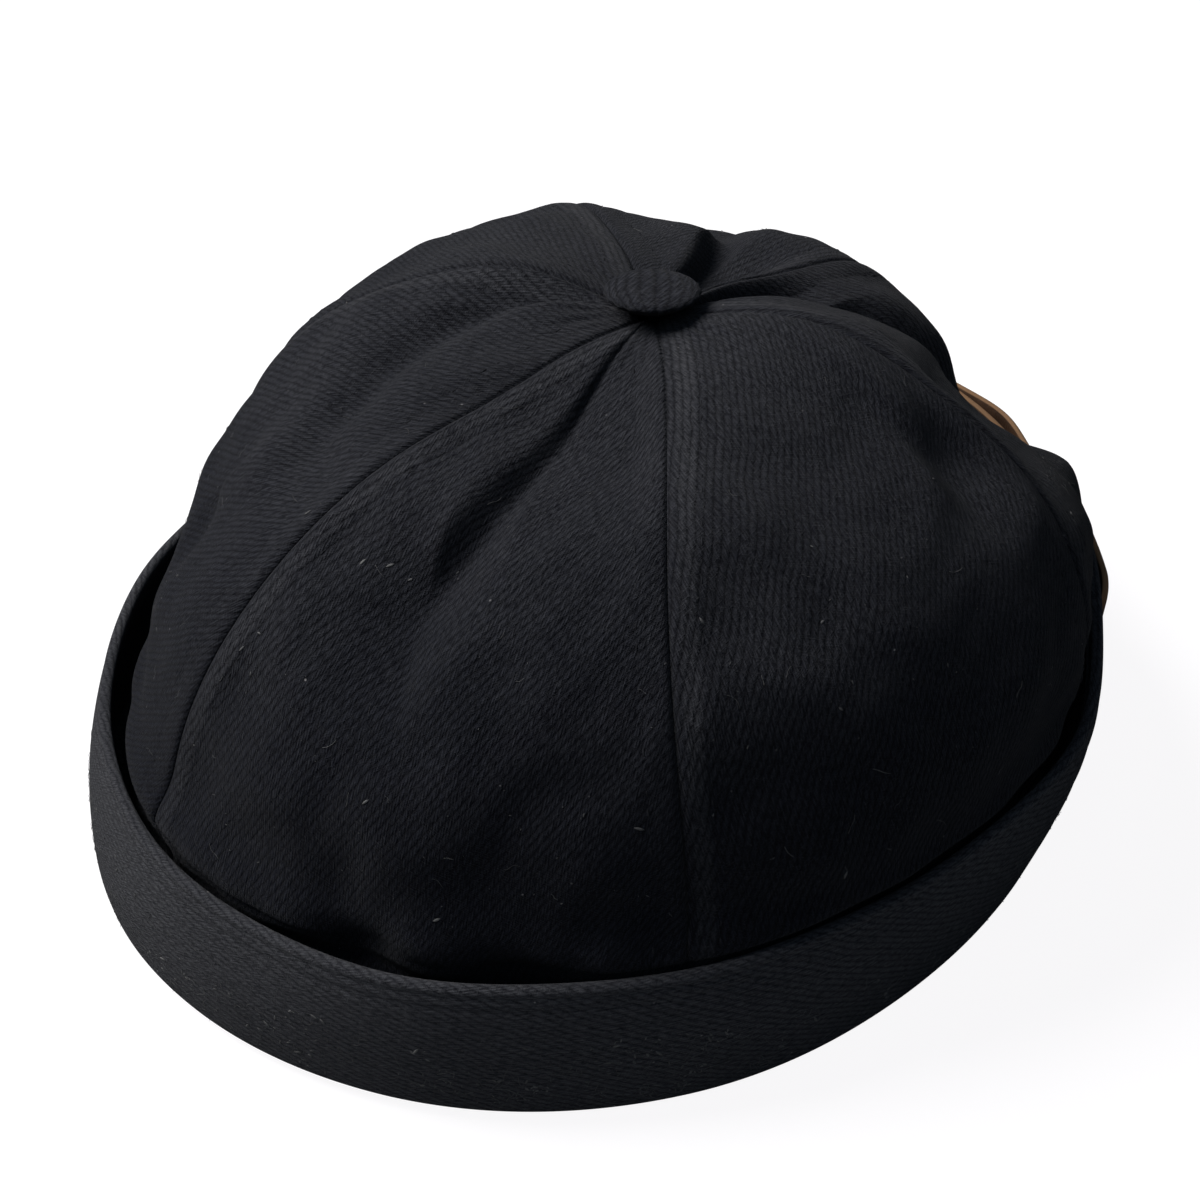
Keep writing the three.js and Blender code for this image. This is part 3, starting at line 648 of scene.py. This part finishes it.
def stitch_points(path, normal, pitch, length, thick, sunk):
    """Stitches along a path: each is a tube that arches over the cloth, sunk into it by a share of its
    thickness, with its ends drawn in below. Gives points by stitch, ring and side."""
    arc = run_along(path, 0)
    count = int(arc[-1] / pitch)
    part = np.linspace(0, 1, STITCH_RINGS)
    at = (np.arange(count)[:, None] + 0.5) * pitch + (part - 0.5) * length
    centre = np.stack([np.interp(at, arc, path[:, k]) for k in range(3)], axis=-1)
    up = np.stack([np.interp(at, arc, normal[:, k]) for k in range(3)], axis=-1)
    way = np.gradient(centre, axis=1)
    side = np.cross(way, up)
    side = side / np.linalg.norm(side, axis=-1, keepdims=True)
    arch = np.sin(np.pi * part)[:, None]
    uneven = UNEVEN * np.modf(np.arange(count) * GOLDEN)[0][:, None, None]
    arched = STITCH_ARCH["rise"] * arch ** STITCH_ARCH["power"]
    centre = centre + up * thick * (arched - sunk - uneven)
    bulk = thick / 2 * (STITCH_BULK["ends"] + STITCH_BULK["middle"] * arch ** STITCH_BULK["power"])
    turn = np.linspace(0, 2 * np.pi, STITCH_SIDES, endpoint=False)[:, None]
    ring = np.cos(turn) * side[:, :, None] + np.sin(turn) * up[:, :, None]
    return centre[:, :, None] + bulk[:, None] * ring


def thread_object(name, stitches, material):
    """One object of many short tubes, given as points by stitch, ring and side, with closed ends."""
    count, rings, sides = stitches.shape[:3]
    first = np.arange(count)[:, None, None] * rings * sides
    ring = np.arange(rings - 1)[None, :, None] * sides
    side = np.arange(sides)[None, None, :]
    after = (side + 1) % sides
    corners = (ring + side, ring + after, ring + sides + after, ring + sides + side)
    walls = np.stack([first + corner for corner in corners], axis=-1)
    caps = np.arange(count)[:, None] * rings * sides + np.arange(sides)
    faces = walls.reshape(-1, 4).tolist() + caps[:, ::-1].tolist() + (caps + (rings - 1) * sides).tolist()
    mesh = bpy.data.meshes.new(name)
    mesh.from_pydata((stitches * MM).reshape(-1, 3), [], faces)
    return smooth_object(name, mesh, material)


def thread_material(name, colour, shadow):
    """Twisted thread: fine stripes across each stitch, with a little fuzz."""
    material, shade = new_material(name)
    place = shade.place()
    stripes = {"Vector": place, "Scale": THREAD_SCALE["twist"]}
    twist = shade.node("ShaderNodeTexWave", {"bands_direction": "DIAGONAL"}, stripes)
    fuzz = shade.noise(place, THREAD_SCALE["fuzz"], 3)
    tone = shade.mix((twist.output(1) * 0.6 + fuzz * 0.5).ramp(0.1, 0.9), shadow, colour)
    bump = shade.bump(twist.output(1), **THREAD_BUMP)
    finish_material(shade, {
        "Base Color": tone,
        "Roughness": 0.85,
        "Specular IOR Level": 0.08,
        "Normal": bump,
    })
    return material


SEAM_THREAD = thread_material("seam_thread", **SEAM_COTTON)
for panel, parts in enumerate(panels):
    near_top = np.linspace(0, STITCH_ROW["top"], STITCH_ROW["top_points"])
    row_start = np.interp(SEAM["row"] * STITCH_ROW["start"], gore_half(panel, near_top), near_top)
    down = np.linspace(row_start, STITCH_ROW["end"], STITCH_ROW["points"])
    rows = []
    for edge in (-1, 1):
        across = edge * (1 - SEAM["row"] / gore_half(panel, down))
        path = crown_point(panel, down, across)
        rows.append(stitch_points(path, crown_normal(panel, down, across), **STITCH))
    stitches = thread_object(f"stitches_{PANELS['name'][panel]}", np.concatenate(rows), SEAM_THREAD)
    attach(stitches, "root")
    widths, fall = parts["widths"], parts["fall"]
    cut_area = float(np.sum((widths[1:] + widths[:-1]) / 2 * np.diff(fall)))

# Button
# A moulded disc covered in the twill, whose edge is gathered under it, drawn down over the hole where the
# six gores meet.
BUTTON = {"radius": 9, "seat": 104.2, "wall": 0.8, "turn": 22, "lean": 0.09, "raised_at": 50}
BUTTON_PROFILE = {
    "out": (0, 0.25, 0.5, 0.7, 0.84, 0.94, 0.99, 1, 0.97, 0.9, 0.82, 0.74),
    "up": (3, 2.98, 2.92, 2.8, 2.6, 2.3, 1.9, 1.5, 1.1, 0.6, 0.1, -0.4),
}
BUTTON_GATHERS = {"count": 19, "height": 0.14, "rise": (0.4, 0.65)}
BUTTON_GRID = {"side": 81, "cloth": 1.35}


def button_points(x, y):
    """A shallow dome with a rounded rim on a square grid, whose squares become rings about the middle. It
    leans, one side raised and the other lowered by a share of the distance out."""
    ring = np.maximum(np.abs(x), np.abs(y))
    turn = np.arctan2(x, y)
    place = np.linspace(0, 1, len(BUTTON_PROFILE["out"]))
    gathers = BUTTON_GATHERS["height"] * np.sin(BUTTON_GATHERS["count"] * turn)
    gathers = gathers * smooth_step(ring, *BUTTON_GATHERS["rise"])
    radius = (BUTTON["radius"] + gathers) * np.interp(ring, place, BUTTON_PROFILE["out"])
    height = BUTTON["seat"] + np.interp(ring, place, BUTTON_PROFILE["up"])
    raised_at = np.radians(BUTTON["raised_at"])
    out_x, out_y = radius * np.sin(turn), radius * np.cos(turn)
    height = height + BUTTON["lean"] * (out_x * np.sin(raised_at) - out_y * np.cos(raised_at))
    return np.stack([CROWN_LEAN["x"] + out_x, CROWN_LEAN["y"] + out_y, height], axis=-1)


button_side = np.linspace(-1, 1, BUTTON_GRID["side"])
button_x, button_y = np.meshgrid(button_side, button_side, indexing="ij")
button_grid = button_points(button_x, button_y)
button_ring = np.maximum(np.abs(button_x), np.abs(button_y)) * BUTTON["radius"] * BUTTON_GRID["cloth"]
button_turn = np.arctan2(button_x, button_y) + np.radians(BUTTON["turn"])
button_cloth = np.stack([button_ring * np.sin(button_turn), button_ring * np.cos(button_turn)], axis=-1)
# The button's cloth is paled by the same painted light as the top of the crown.
button_painted_light = TOP_PAINTED_LIGHT["button"] + 0 * button_ring
button = grid_object("covered_button", button_grid, button_cloth, CROWN_TWILL, paling=button_painted_light)
thicken(button, BUTTON["wall"])
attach(button, "root")
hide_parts("crown_button")

# Strap
# Two layers of brown leather with raw edges cross the slit. A tab is sewn to the cuff on the wearer's left,
# and a long strap sewn on the right lies over it and bows off it once.
LEATHER = 1.3
STRAP = {"width": 17, "end_top": 38.5, "middle_top": 44, "clear": 0.3, "corner": 4, "round": 0.45}
STRAP_PULL = {"depth": 4.5, "run": 10, "edge": 1.5}
STRAP_ENDS = {"tab": (138, 194), "long": (158, 222)}
STRAP_BOW = {"at": 168.5, "width": 5.5}
BOW_GAP = 2
LAP_GAP = 0.4
LAP_ENDS = (195, 202)
STRAP_GRID = {"face": 14, "edge": 7, "along": 150, "crowding": 0.4}
WELD = 1e-7
BACK_AT = 25
RAW_SHARE = 0.02
HIDE = {
    "face": (0.06, 0.029, 0.014, 1),
    "dark": (0.025, 0.012, 0.006, 1),
    "raw_edge": (0.24, 0.135, 0.07, 1),
}
HIDE_SCALE = {"pores": 1.6, "mottle": 0.22, "fibre": 4, "creases": (0.8, 0.05, 1)}
HIDE_BUMP = {"strength": 0.5, "distance": 0.0002}


def strap_top(angle):
    """Height of the strap's top edge, highest in the middle of the back."""
    half = (STRAP_ENDS["long"][1] - STRAP_ENDS["tab"][0]) / 2
    away = smooth_step(np.abs(angle - SLIT["middle"]) / half, 0, 1)
    return STRAP["middle_top"] + (STRAP["end_top"] - STRAP["middle_top"]) * away


def tab_stand(angle):
    """How far the tab stands off the cuff's line: on the cuff at its ends, pulled in across the slit."""
    first = SLIT["middle"] - SLIT["half"] + STRAP_PULL["edge"]
    last = SLIT["middle"] + SLIT["half"] - STRAP_PULL["edge"]
    entering = smooth_step(angle, first, first + STRAP_PULL["run"])
    leaving = smooth_step(angle, last - STRAP_PULL["run"], last)
    return STRAP["clear"] - STRAP_PULL["depth"] * entering * (1 - leaving)


def long_stand(angle):
    """How far the long strap stands off the cuff's line: over the tab with a bow, then down to the cuff."""
    over = LEATHER + LAP_GAP + BOW_GAP * hump(angle, **STRAP_BOW)
    return tab_stand(angle) + over * (1 - smooth_step(angle, *LAP_ENDS))


def strap_place(angle, height, stand):
    """Points at an angle and a height, standing off the cuff's line."""
    return polar(cuff_radius(angle, height) + stand, angle, height)


def strap_section():
    """A rounded bar as two shares: down the width from 0 to 1, and through the thickness from 0 to 1."""
    edge = STRAP["round"] / STRAP["width"]
    bend = np.radians(np.linspace(0, 180, STRAP_GRID["edge"]))
    face = np.linspace(edge, 1 - edge, STRAP_GRID["face"])
    low = 1 - edge + edge * np.sin(bend)
    high = edge - edge * np.sin(bend)
    down = np.concatenate([face, low[1:-1], face[::-1], high[1:-1]])
    rim = 0.5 + 0.5 * np.cos(bend[1:-1])
    thick = np.concatenate([np.ones_like(face), rim, np.zeros_like(face), rim[::-1]])
    return down[:, None], thick[:, None]


def weld(mesh):
    """Joins points that lie on each other, so that a closed end is one point."""
    work = bmesh.new()
    work.from_mesh(mesh)
    bmesh.ops.remove_doubles(work, verts=work.verts, dist=WELD)
    work.to_mesh(mesh)
    work.free()


def strap_layer(name, ends, stand, material):
    """One layer: the bar swept along the cuff's line between two angles, with rounded corners and ends."""
    share = np.linspace(-1, 1, STRAP_GRID["along"])
    share = (1 - STRAP_GRID["crowding"]) * share + STRAP_GRID["crowding"] * np.sin(np.pi / 2 * share)
    angle = (ends[0] + ends[1]) / 2 + (ends[1] - ends[0]) / 2 * share
    length = np.radians(ends[1] - ends[0]) * np.mean(CUFF["top"])
    from_end = (1 - np.abs(share)) * length / 2
    corner = STRAP["corner"]
    narrow = corner - np.sqrt(corner**2 - (corner - np.minimum(from_end, corner)) ** 2)
    down, thick = strap_section()
    fall = narrow + (STRAP["width"] - 2 * narrow) * down
    grid = strap_place(angle, strap_top(angle) - fall, stand(angle) + LEATHER * thick)
    ends_closed = [grid[:, :1].mean(axis=0, keepdims=True) + 0 * grid[:, :1], grid]
    ends_closed.append(grid[:, -1:].mean(axis=0, keepdims=True) + 0 * grid[:, -1:])
    grid = np.concatenate(ends_closed, axis=1)
    along = np.concatenate([[0], share + 1, [2]]) * length / 2
    around = np.append(fall[:, :1] + BACK_AT * (1 - thick), [[0]], axis=0)
    lengths = np.stack(np.broadcast_arrays(along, around), axis=-1)
    raw = np.where((thick > RAW_SHARE) & (thick < 1 - RAW_SHARE), 1.0, 0.0) + 0 * along
    raw[:, (0, -1)] = 1
    made = grid_object(name, grid, lengths, material, tube=True, paling=raw)
    weld(made.data)
    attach(made, "root")
    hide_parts(name.replace("leather", "strap"))
    return made, length


def leather_material(name, face, dark, raw_edge):
    """Brown leather: fine grain cells, mottled dye, creases across the strap and pale raw edges."""
    material, shade = new_material(name)
    cloth = shade.cloth()
    pores = {"Vector": cloth, "Scale": HIDE_SCALE["pores"]}
    grain = shade.node("ShaderNodeTexVoronoi", {"feature": "DISTANCE_TO_EDGE"}, pores)
    mottle = shade.noise(cloth, HIDE_SCALE["mottle"], 5)
    drawn_out = shade.node("ShaderNodeMapping", {}, {"Vector": cloth, "Scale": HIDE_SCALE["creases"]})
    creases = shade.noise(drawn_out, 1, 3)
    fibre = shade.noise(cloth, HIDE_SCALE["fibre"], 3)
    edge = shade.paling()
    cells = grain.ramp(0, 0.12)
    dyed = shade.mix(mottle.ramp(0.3, 0.7) * (0.6 + 0.4 * cells), dark, face)
    pale = edge * (0.55 + 0.6 * fibre)
    colour = shade.mix(pale.ramp(0, 1), dyed, raw_edge)
    height = cells * 0.5 + creases + edge * fibre
    bump = shade.bump(height, **HIDE_BUMP)
    finish_material(shade, {
        "Base Color": colour,
        "Roughness": (0.45 + 0.3 * mottle + 0.3 * edge).ramp(0, 1),
        "Specular IOR Level": 0.25,
        "Normal": bump,
    })
    return material


STRAP_LEATHER = leather_material("brown_leather", **HIDE)
tab, tab_length = strap_layer("leather_tab", STRAP_ENDS["tab"], tab_stand, STRAP_LEATHER)
long_strap, long_length = strap_layer("leather_long", STRAP_ENDS["long"], long_stand, STRAP_LEATHER)

# Strap stitches
# A box of brown thread sews the outer end of each strap to the cuff, in thick stitches that stand a little
# proud of the leather.
STRAP_BOX = {"inset": 2.6, "reach": 8, "points": 200}
STRAP_STITCH = {"pitch": 2.9, "length": 2.2, "thick": 0.55, "sunk": 0.5}
STRAP_COTTON = {"colour": (0.12, 0.065, 0.035, 1), "shadow": (0.04, 0.02, 0.012, 1)}
STRAP_THREAD = thread_material("strap_thread", **STRAP_COTTON)


def box_path(start, way, stand):
    """A rectangle of stitches on a strap's face near its end, going inward from an angle."""
    turn = way * np.degrees(1 / np.mean(CUFF["top"]))
    near, far = STRAP_BOX["inset"], STRAP_BOX["inset"] + STRAP_BOX["reach"]
    high, low = STRAP_BOX["inset"], STRAP["width"] - STRAP_BOX["inset"]
    corners = np.array([(near, high), (far, high), (far, low), (near, low), (near, high)])
    place = np.linspace(0, len(corners) - 1, STRAP_BOX["points"])
    inward = np.interp(place, np.arange(len(corners)), corners[:, 0])
    fall = np.interp(place, np.arange(len(corners)), corners[:, 1])
    angle = start + turn * inward
    path = strap_place(angle, strap_top(angle) - fall, stand(angle) + LEATHER)
    return path, polar(1, angle, 0)


boxes = [box_path(STRAP_ENDS["tab"][0], 1, tab_stand), box_path(STRAP_ENDS["long"][1], -1, long_stand)]
box_stitches = [
    thread_object(f"strap_stitches_{side}", stitch_points(*box, **STRAP_STITCH), STRAP_THREAD)
    for side, box in zip(("tab", "long"), boxes)
]
for stitches in box_stitches:
    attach(stitches, "root")

# Keeper
# A loop of flat brass round both strap layers, bent to shape. Its dull film is rubbed through in patches.
KEEPER = {"angle": 188, "length": 5, "wall": 1.2, "clear": 0.35, "round": 0.4, "corner": 1.2}
KEEPER_STEPS = {"bar": 5, "loop": 9}
BRASS = {"bright": (0.45, 0.32, 0.15, 1), "dull": (0.2, 0.14, 0.07, 1)}
BRASS_SCALE = {"patches": 260, "scratches": (300, 300, 2600)}
BRASS_BUMP = {"strength": 0.2, "distance": 0.00005}


def rounded_box(half_width, half_height, corner, steps):
    """A rectangle with rounded corners about the origin, anticlockwise, as evenly turned corner arcs."""
    bend = np.radians(np.linspace(0, 90, steps))
    parts = []
    for quarter, (x, y) in enumerate(((1, 1), (-1, 1), (-1, -1), (1, -1))):
        turn = bend + quarter * np.pi / 2
        across = x * (half_width - corner) + corner * np.cos(turn)
        along = y * (half_height - corner) + corner * np.sin(turn)
        parts.append(np.stack([across, along], axis=-1))
    return np.concatenate(parts)


def keeper_points():
    """A rounded bar swept round a rounded loop, in the loop's own depth, height and length."""
    angle = KEEPER["angle"]
    near = tab_stand(angle) - KEEPER["clear"] - KEEPER["wall"] / 2
    far = long_stand(angle) + LEATHER + KEEPER["clear"] + KEEPER["wall"] / 2
    half_height = STRAP["width"] / 2 + KEEPER["clear"] + KEEPER["wall"] / 2
    middle = strap_top(angle) - STRAP["width"] / 2
    bar = rounded_box(KEEPER["wall"] / 2, KEEPER["length"] / 2, KEEPER["round"], KEEPER_STEPS["bar"])
    corner, steps, half_depth = KEEPER["corner"], KEEPER_STEPS["loop"], (far - near) / 2
    loops = np.stack([rounded_box(half_depth + x, half_height + x, corner + x, steps) for x in bar[:, 0]])
    height = middle + loops[..., 1]
    stand = (near + far) / 2 + loops[..., 0]
    turn = angle + np.degrees(bar[:, 1:] / np.mean(CUFF["top"])) + 0 * stand
    return polar(cuff_radius(turn, height) + stand, turn, height)


def brass_material(name, bright, dull):
    """Aged brass: a dull film with fine scratches, rubbed through in patches."""
    material, shade = new_material(name)
    place = shade.place()
    patches = shade.noise(place, BRASS_SCALE["patches"], 4).ramp(0.35, 0.65)
    stretched = shade.node("ShaderNodeMapping", {}, {"Vector": place, "Scale": BRASS_SCALE["scratches"]})
    scratches = shade.noise(stretched, 1, 2)
    bump = shade.bump(scratches, **BRASS_BUMP)
    finish_material(shade, {
        "Base Color": shade.mix(patches, dull, bright),
        "Metallic": 1.0,
        "Roughness": 0.28 + 0.25 * scratches,
        "Normal": bump,
    })
    return material


keeper_grid = keeper_points()
keeper_flat = np.zeros((keeper_grid.shape[0] + 1, keeper_grid.shape[1] + 1, 2))
KEEPER_BRASS = brass_material("aged_brass", **BRASS)
keeper = grid_object("brass_keeper", keeper_grid, keeper_flat, KEEPER_BRASS, ring=True, tube=True)
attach(keeper, "root")
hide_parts("strap_keeper")

# Lint
# Specks of dust and short pale hairs that black twill picks up, lying loose on the cloth and thickest on the
# lower front of the cuff.
LINT = {"crown": 380, "cuff": 1100, "front": 45, "spread": 48, "seed": 11}
LINT_REACH = {"down": (0.12, 0.56), "across": 0.95}
CLUMP = {"count": 90, "turn": 2.2, "rise": 1.6, "low": 5, "span": 17, "lie": (1.3, 2.2)}
SPECK_SIZE = {"least": 0.06, "more": 0.24, "rarity": 5, "stretch": 2.5, "raised": 0.05, "flat": 0.4}
SPECK_GRID = {"rings": 4, "sides": 5, "round": 1.04}
HAIRS = {"crown": 120, "cuff": 330, "length": (0.8, 3.6), "thick": 0.08, "curl": 0.5}
HAIR_LIFT = {"height": 0.1, "waves": 9}
HAIR_GRID = {"rings": 9, "sides": 4}
FLUFF = {"pale": (0.1, 0.099, 0.097, 1), "grey": (0.02, 0.02, 0.022, 1)}
FLUFF_SCALE = 160


def cuff_face(angle, height):
    """Points and unit normals on the band's outer face, from its slopes round and up."""
    def at(turn, level):
        """Points of the face."""
        return polar(cuff_radius(turn, level) + cuff_swell(turn, level), turn, level)

    step = 0.1
    along = at(angle + step, height) - at(angle - step, height)
    slope = np.cross(along, at(angle, height + step) - at(angle, height - step))
    return at(angle, height), slope / np.linalg.norm(slope, axis=-1, keepdims=True)


def crown_face(panel, down, across):
    """Points and unit normals on the crown, with one panel number for each place."""
    points = np.zeros((len(panel), 3))
    normals = np.zeros((len(panel), 3))
    for number in range(len(PANELS["name"])):
        here = panel == number
        points[here] = crown_point(number, down[here], across[here])
        normals[here] = crown_normal(number, down[here], across[here])
    return points, normals


def lint_places(chance, crown_count, cuff_count):
    """Random places on the crown and the cuff, most of them towards the front and low on the band."""
    panel = chance.integers(0, len(PANELS["name"]), crown_count)
    start, span = LINT_REACH["down"]
    down = start + span * np.sqrt(chance.random(crown_count))
    across = chance.uniform(-LINT_REACH["across"], LINT_REACH["across"], crown_count)
    clump = chance.integers(0, CLUMP["count"], cuff_count)
    angle = chance.normal(LINT["front"], LINT["spread"], CLUMP["count"])[clump]
    angle = angle + chance.normal(0, CLUMP["turn"], cuff_count)
    height = CLUMP["low"] + CLUMP["span"] * chance.beta(*CLUMP["lie"], CLUMP["count"])[clump]
    height = np.maximum(height + chance.normal(0, CLUMP["rise"], cuff_count), CLUMP["low"])
    pairs = crown_face(panel, down, across), cuff_face(angle, height)
    return np.concatenate([p[0] for p in pairs]), np.concatenate([p[1] for p in pairs])


def tangents(normals, chance):
    """Two unit directions square to each normal and to each other, turned at random."""
    loose = chance.normal(size=normals.shape)
    first = np.cross(normals, loose)
    first = first / np.linalg.norm(first, axis=-1, keepdims=True)
    return first, np.cross(normals, first)


def speck_points(chance):
    """Grains drawn out along the cloth, most of them small: an ellipse of rings that lies flat on the face.
    Gives points by speck, ring and side."""
    points, normals = lint_places(chance, LINT["crown"], LINT["cuff"])
    first, second = tangents(normals, chance)
    size = SPECK_SIZE["least"] + SPECK_SIZE["more"] * chance.random(len(points)) ** SPECK_SIZE["rarity"]
    stretch = 1 + SPECK_SIZE["stretch"] * chance.random(len(points))
    part = np.linspace(-1, 1, SPECK_GRID["rings"])[None, :, None]
    turn = np.linspace(0, 2 * np.pi, SPECK_GRID["sides"], endpoint=False)[None, None, :]
    belly = size[:, None, None] * np.sqrt(SPECK_GRID["round"] - part**2)
    along = (size * stretch)[:, None, None] * (part + 0 * turn)
    up = SPECK_SIZE["raised"] + SPECK_SIZE["flat"] * belly * np.sin(turn)
    ways = ((along, first), (belly * np.cos(turn), second), (up, normals))
    return points[:, None, None] + sum(amount[..., None] * way[:, None, None] for amount, way in ways)


def hair_points(chance):
    """Thin tubes along curled paths on the cloth, bent by a square and a cube of the place along them.
    Gives points by hair, ring and side."""
    points, normals = lint_places(chance, HAIRS["crown"], HAIRS["cuff"])
    first, second = tangents(normals, chance)
    length = chance.uniform(*HAIRS["length"], len(points))[:, None]
    curl = chance.normal(0, HAIRS["curl"], (len(points), 2))
    part = np.linspace(-0.5, 0.5, HAIR_GRID["rings"])[None, :]
    sideways = length * (curl[:, :1] * part**2 + curl[:, 1:] * part**3)
    lift = HAIR_LIFT["height"] * (1 + np.sin(HAIR_LIFT["waves"] * part))
    ways = ((length * part, first), (sideways, second), (lift, normals))
    paths = points[:, None] + sum(amount[..., None] * way[:, None] for amount, way in ways)
    turn = np.linspace(0, 2 * np.pi, HAIR_GRID["sides"], endpoint=False)[:, None]
    ring = np.cos(turn) * second[:, None] + np.sin(turn) * normals[:, None]
    return paths[:, :, None] + HAIRS["thick"] / 2 * ring[:, None]


def lint_material(name, pale, grey):
    """Dusty fibre, a little different from place to place."""
    material, shade = new_material(name)
    place = shade.place()
    tone = shade.noise(place, FLUFF_SCALE, 2).ramp(0.3, 0.7)
    finish_material(shade, {
        "Base Color": shade.mix(tone, grey, pale),
        "Roughness": 0.95,
        "Specular IOR Level": 0.1,
    })
    return material


LINT_FIBRE = lint_material("lint_fibre", **FLUFF)
chance = np.random.default_rng(LINT["seed"])
for lint_name, lint_points in (("lint_specks", speck_points), ("lint_hairs", hair_points)):
    lint = thread_object(lint_name, lint_points(chance), LINT_FIBRE)
    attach(lint, "root")

# Table, light and camera
# A plain white sheet lies level under the cap and sweeps up all round, far off, and a card just under it
# throws light back on the cap. A soft lamp stands at the upper left and a weak cool one above and behind the
# camera, which is at the photo's place.
CAMERA = {"turn": 50, "rise": 36.5, "away": 0.4, "right": 0.004, "up": -0.014}
LENS = {"lens": 59.4, "sensor_width": 36, "clip_start": 0.01}
turn, rise = np.radians((CAMERA["turn"], CAMERA["rise"]))
towards = np.array([np.sin(turn) * np.cos(rise), -np.cos(turn) * np.cos(rise), np.sin(rise)])
rightwards = np.array([np.cos(turn), np.sin(turn), 0])
upwards = np.cross(towards, rightwards)
aim = np.array([0, 0, 0.05])
SWEEP = {
    "out": (0, 2.2, 2.6, 3, 3.3, 3.5, 3.6, 3.6),
    "up": (0, 0, 0.04, 0.16, 0.38, 0.7, 1.1, 4),
    "sides": 48,
}
TABLE = {"low": (0.12, 0.12, 0.12, 1), "high": (0.14, 0.14, 0.14, 1), "glow": 0.92}
CARD = {"low": (0.3, 0.3, 0.3, 1), "high": (0.33, 0.33, 0.33, 1), "glow": 0}
CARD_BELOW = 0.0005
TABLE_GRAIN = 400
SKY = {"Color": (0.55, 0.75, 1, 1), "Strength": 0.12}
LIGHTS = {
    "key": {"left": 0.74, "up": 0.93, "near": -0.2, "size": 0.8, "power": 28.0, "colour": (1, 0.99, 0.98)},
    "window": {"left": 0.0, "up": 0.9, "near": 0.8, "size": 1.0, "power": 1.9, "colour": (0.6, 0.78, 1)},
}


def aimed(made, place, goal):
    """Puts a camera or a light at a place and turns its -Z axis to a goal."""
    made.location = place
    made.rotation_mode = "QUATERNION"
    made.rotation_quaternion = Vector(goal - place).to_track_quat("-Z", "Y")
    bpy.context.collection.objects.link(made)


def table_plane(name, height, low, high, glow):
    """A wide level sheet that sweeps up at its edge, with a faint grain between two greys and a glow."""
    white, shade = new_material(name)
    grain = shade.noise(shade.place(), TABLE_GRAIN, 3)
    finish_material(shade, {
        "Base Color": shade.mix(grain, low, high),
        "Roughness": 0.9,
        "Specular IOR Level": 0.1,
        "Emission Color": (1, 0.99, 1, 1),
        "Emission Strength": glow,
    })
    angle = np.linspace(360, 0, SWEEP["sides"], endpoint=False)
    out, up = (np.array(SWEEP[key])[::-1, None] / MM for key in ("out", "up"))
    flat = np.zeros((len(SWEEP["out"]), SWEEP["sides"] + 1, 2))
    made = grid_object(name, polar(out, angle, up + height / MM), flat, white, ring=True)
    return made


table = table_plane("table", 0, **TABLE)
table.visible_diffuse = False
table.visible_glossy = False
table.visible_shadow = False
card = table_plane("bounce_card", -CARD_BELOW, **CARD)
card.visible_camera = False

for light_name, light in LIGHTS.items():
    lamp = bpy.data.lights.new(light_name, "AREA")
    lamp.shape = "DISK"
    lamp.size = light["size"]
    lamp.energy = light["power"]
    lamp.color = light["colour"]
    level = np.array([towards[0], towards[1], 0]) / np.cos(rise)
    place = aim - rightwards * light["left"] + level * light["near"] + np.array([0, 0, light["up"]])
    aimed(bpy.data.objects.new(light_name, lamp), place, aim)

sky = bpy.data.worlds.new("sky")
sky.use_nodes = True
for socket, value in SKY.items():
    sky.node_tree.nodes["Background"].inputs[socket].default_value = value
bpy.context.scene.world = sky

lens = bpy.data.cameras.new("photo_camera")
for setting, value in LENS.items():
    setattr(lens, setting, value)
photo_camera = bpy.data.objects.new("photo_camera", lens)
framed = aim + rightwards * CAMERA["right"] + upwards * CAMERA["up"]
aimed(photo_camera, aim + towards * CAMERA["away"], framed)
bpy.context.scene.camera = photo_camera
bpy.context.scene.view_settings.view_transform = "Standard"
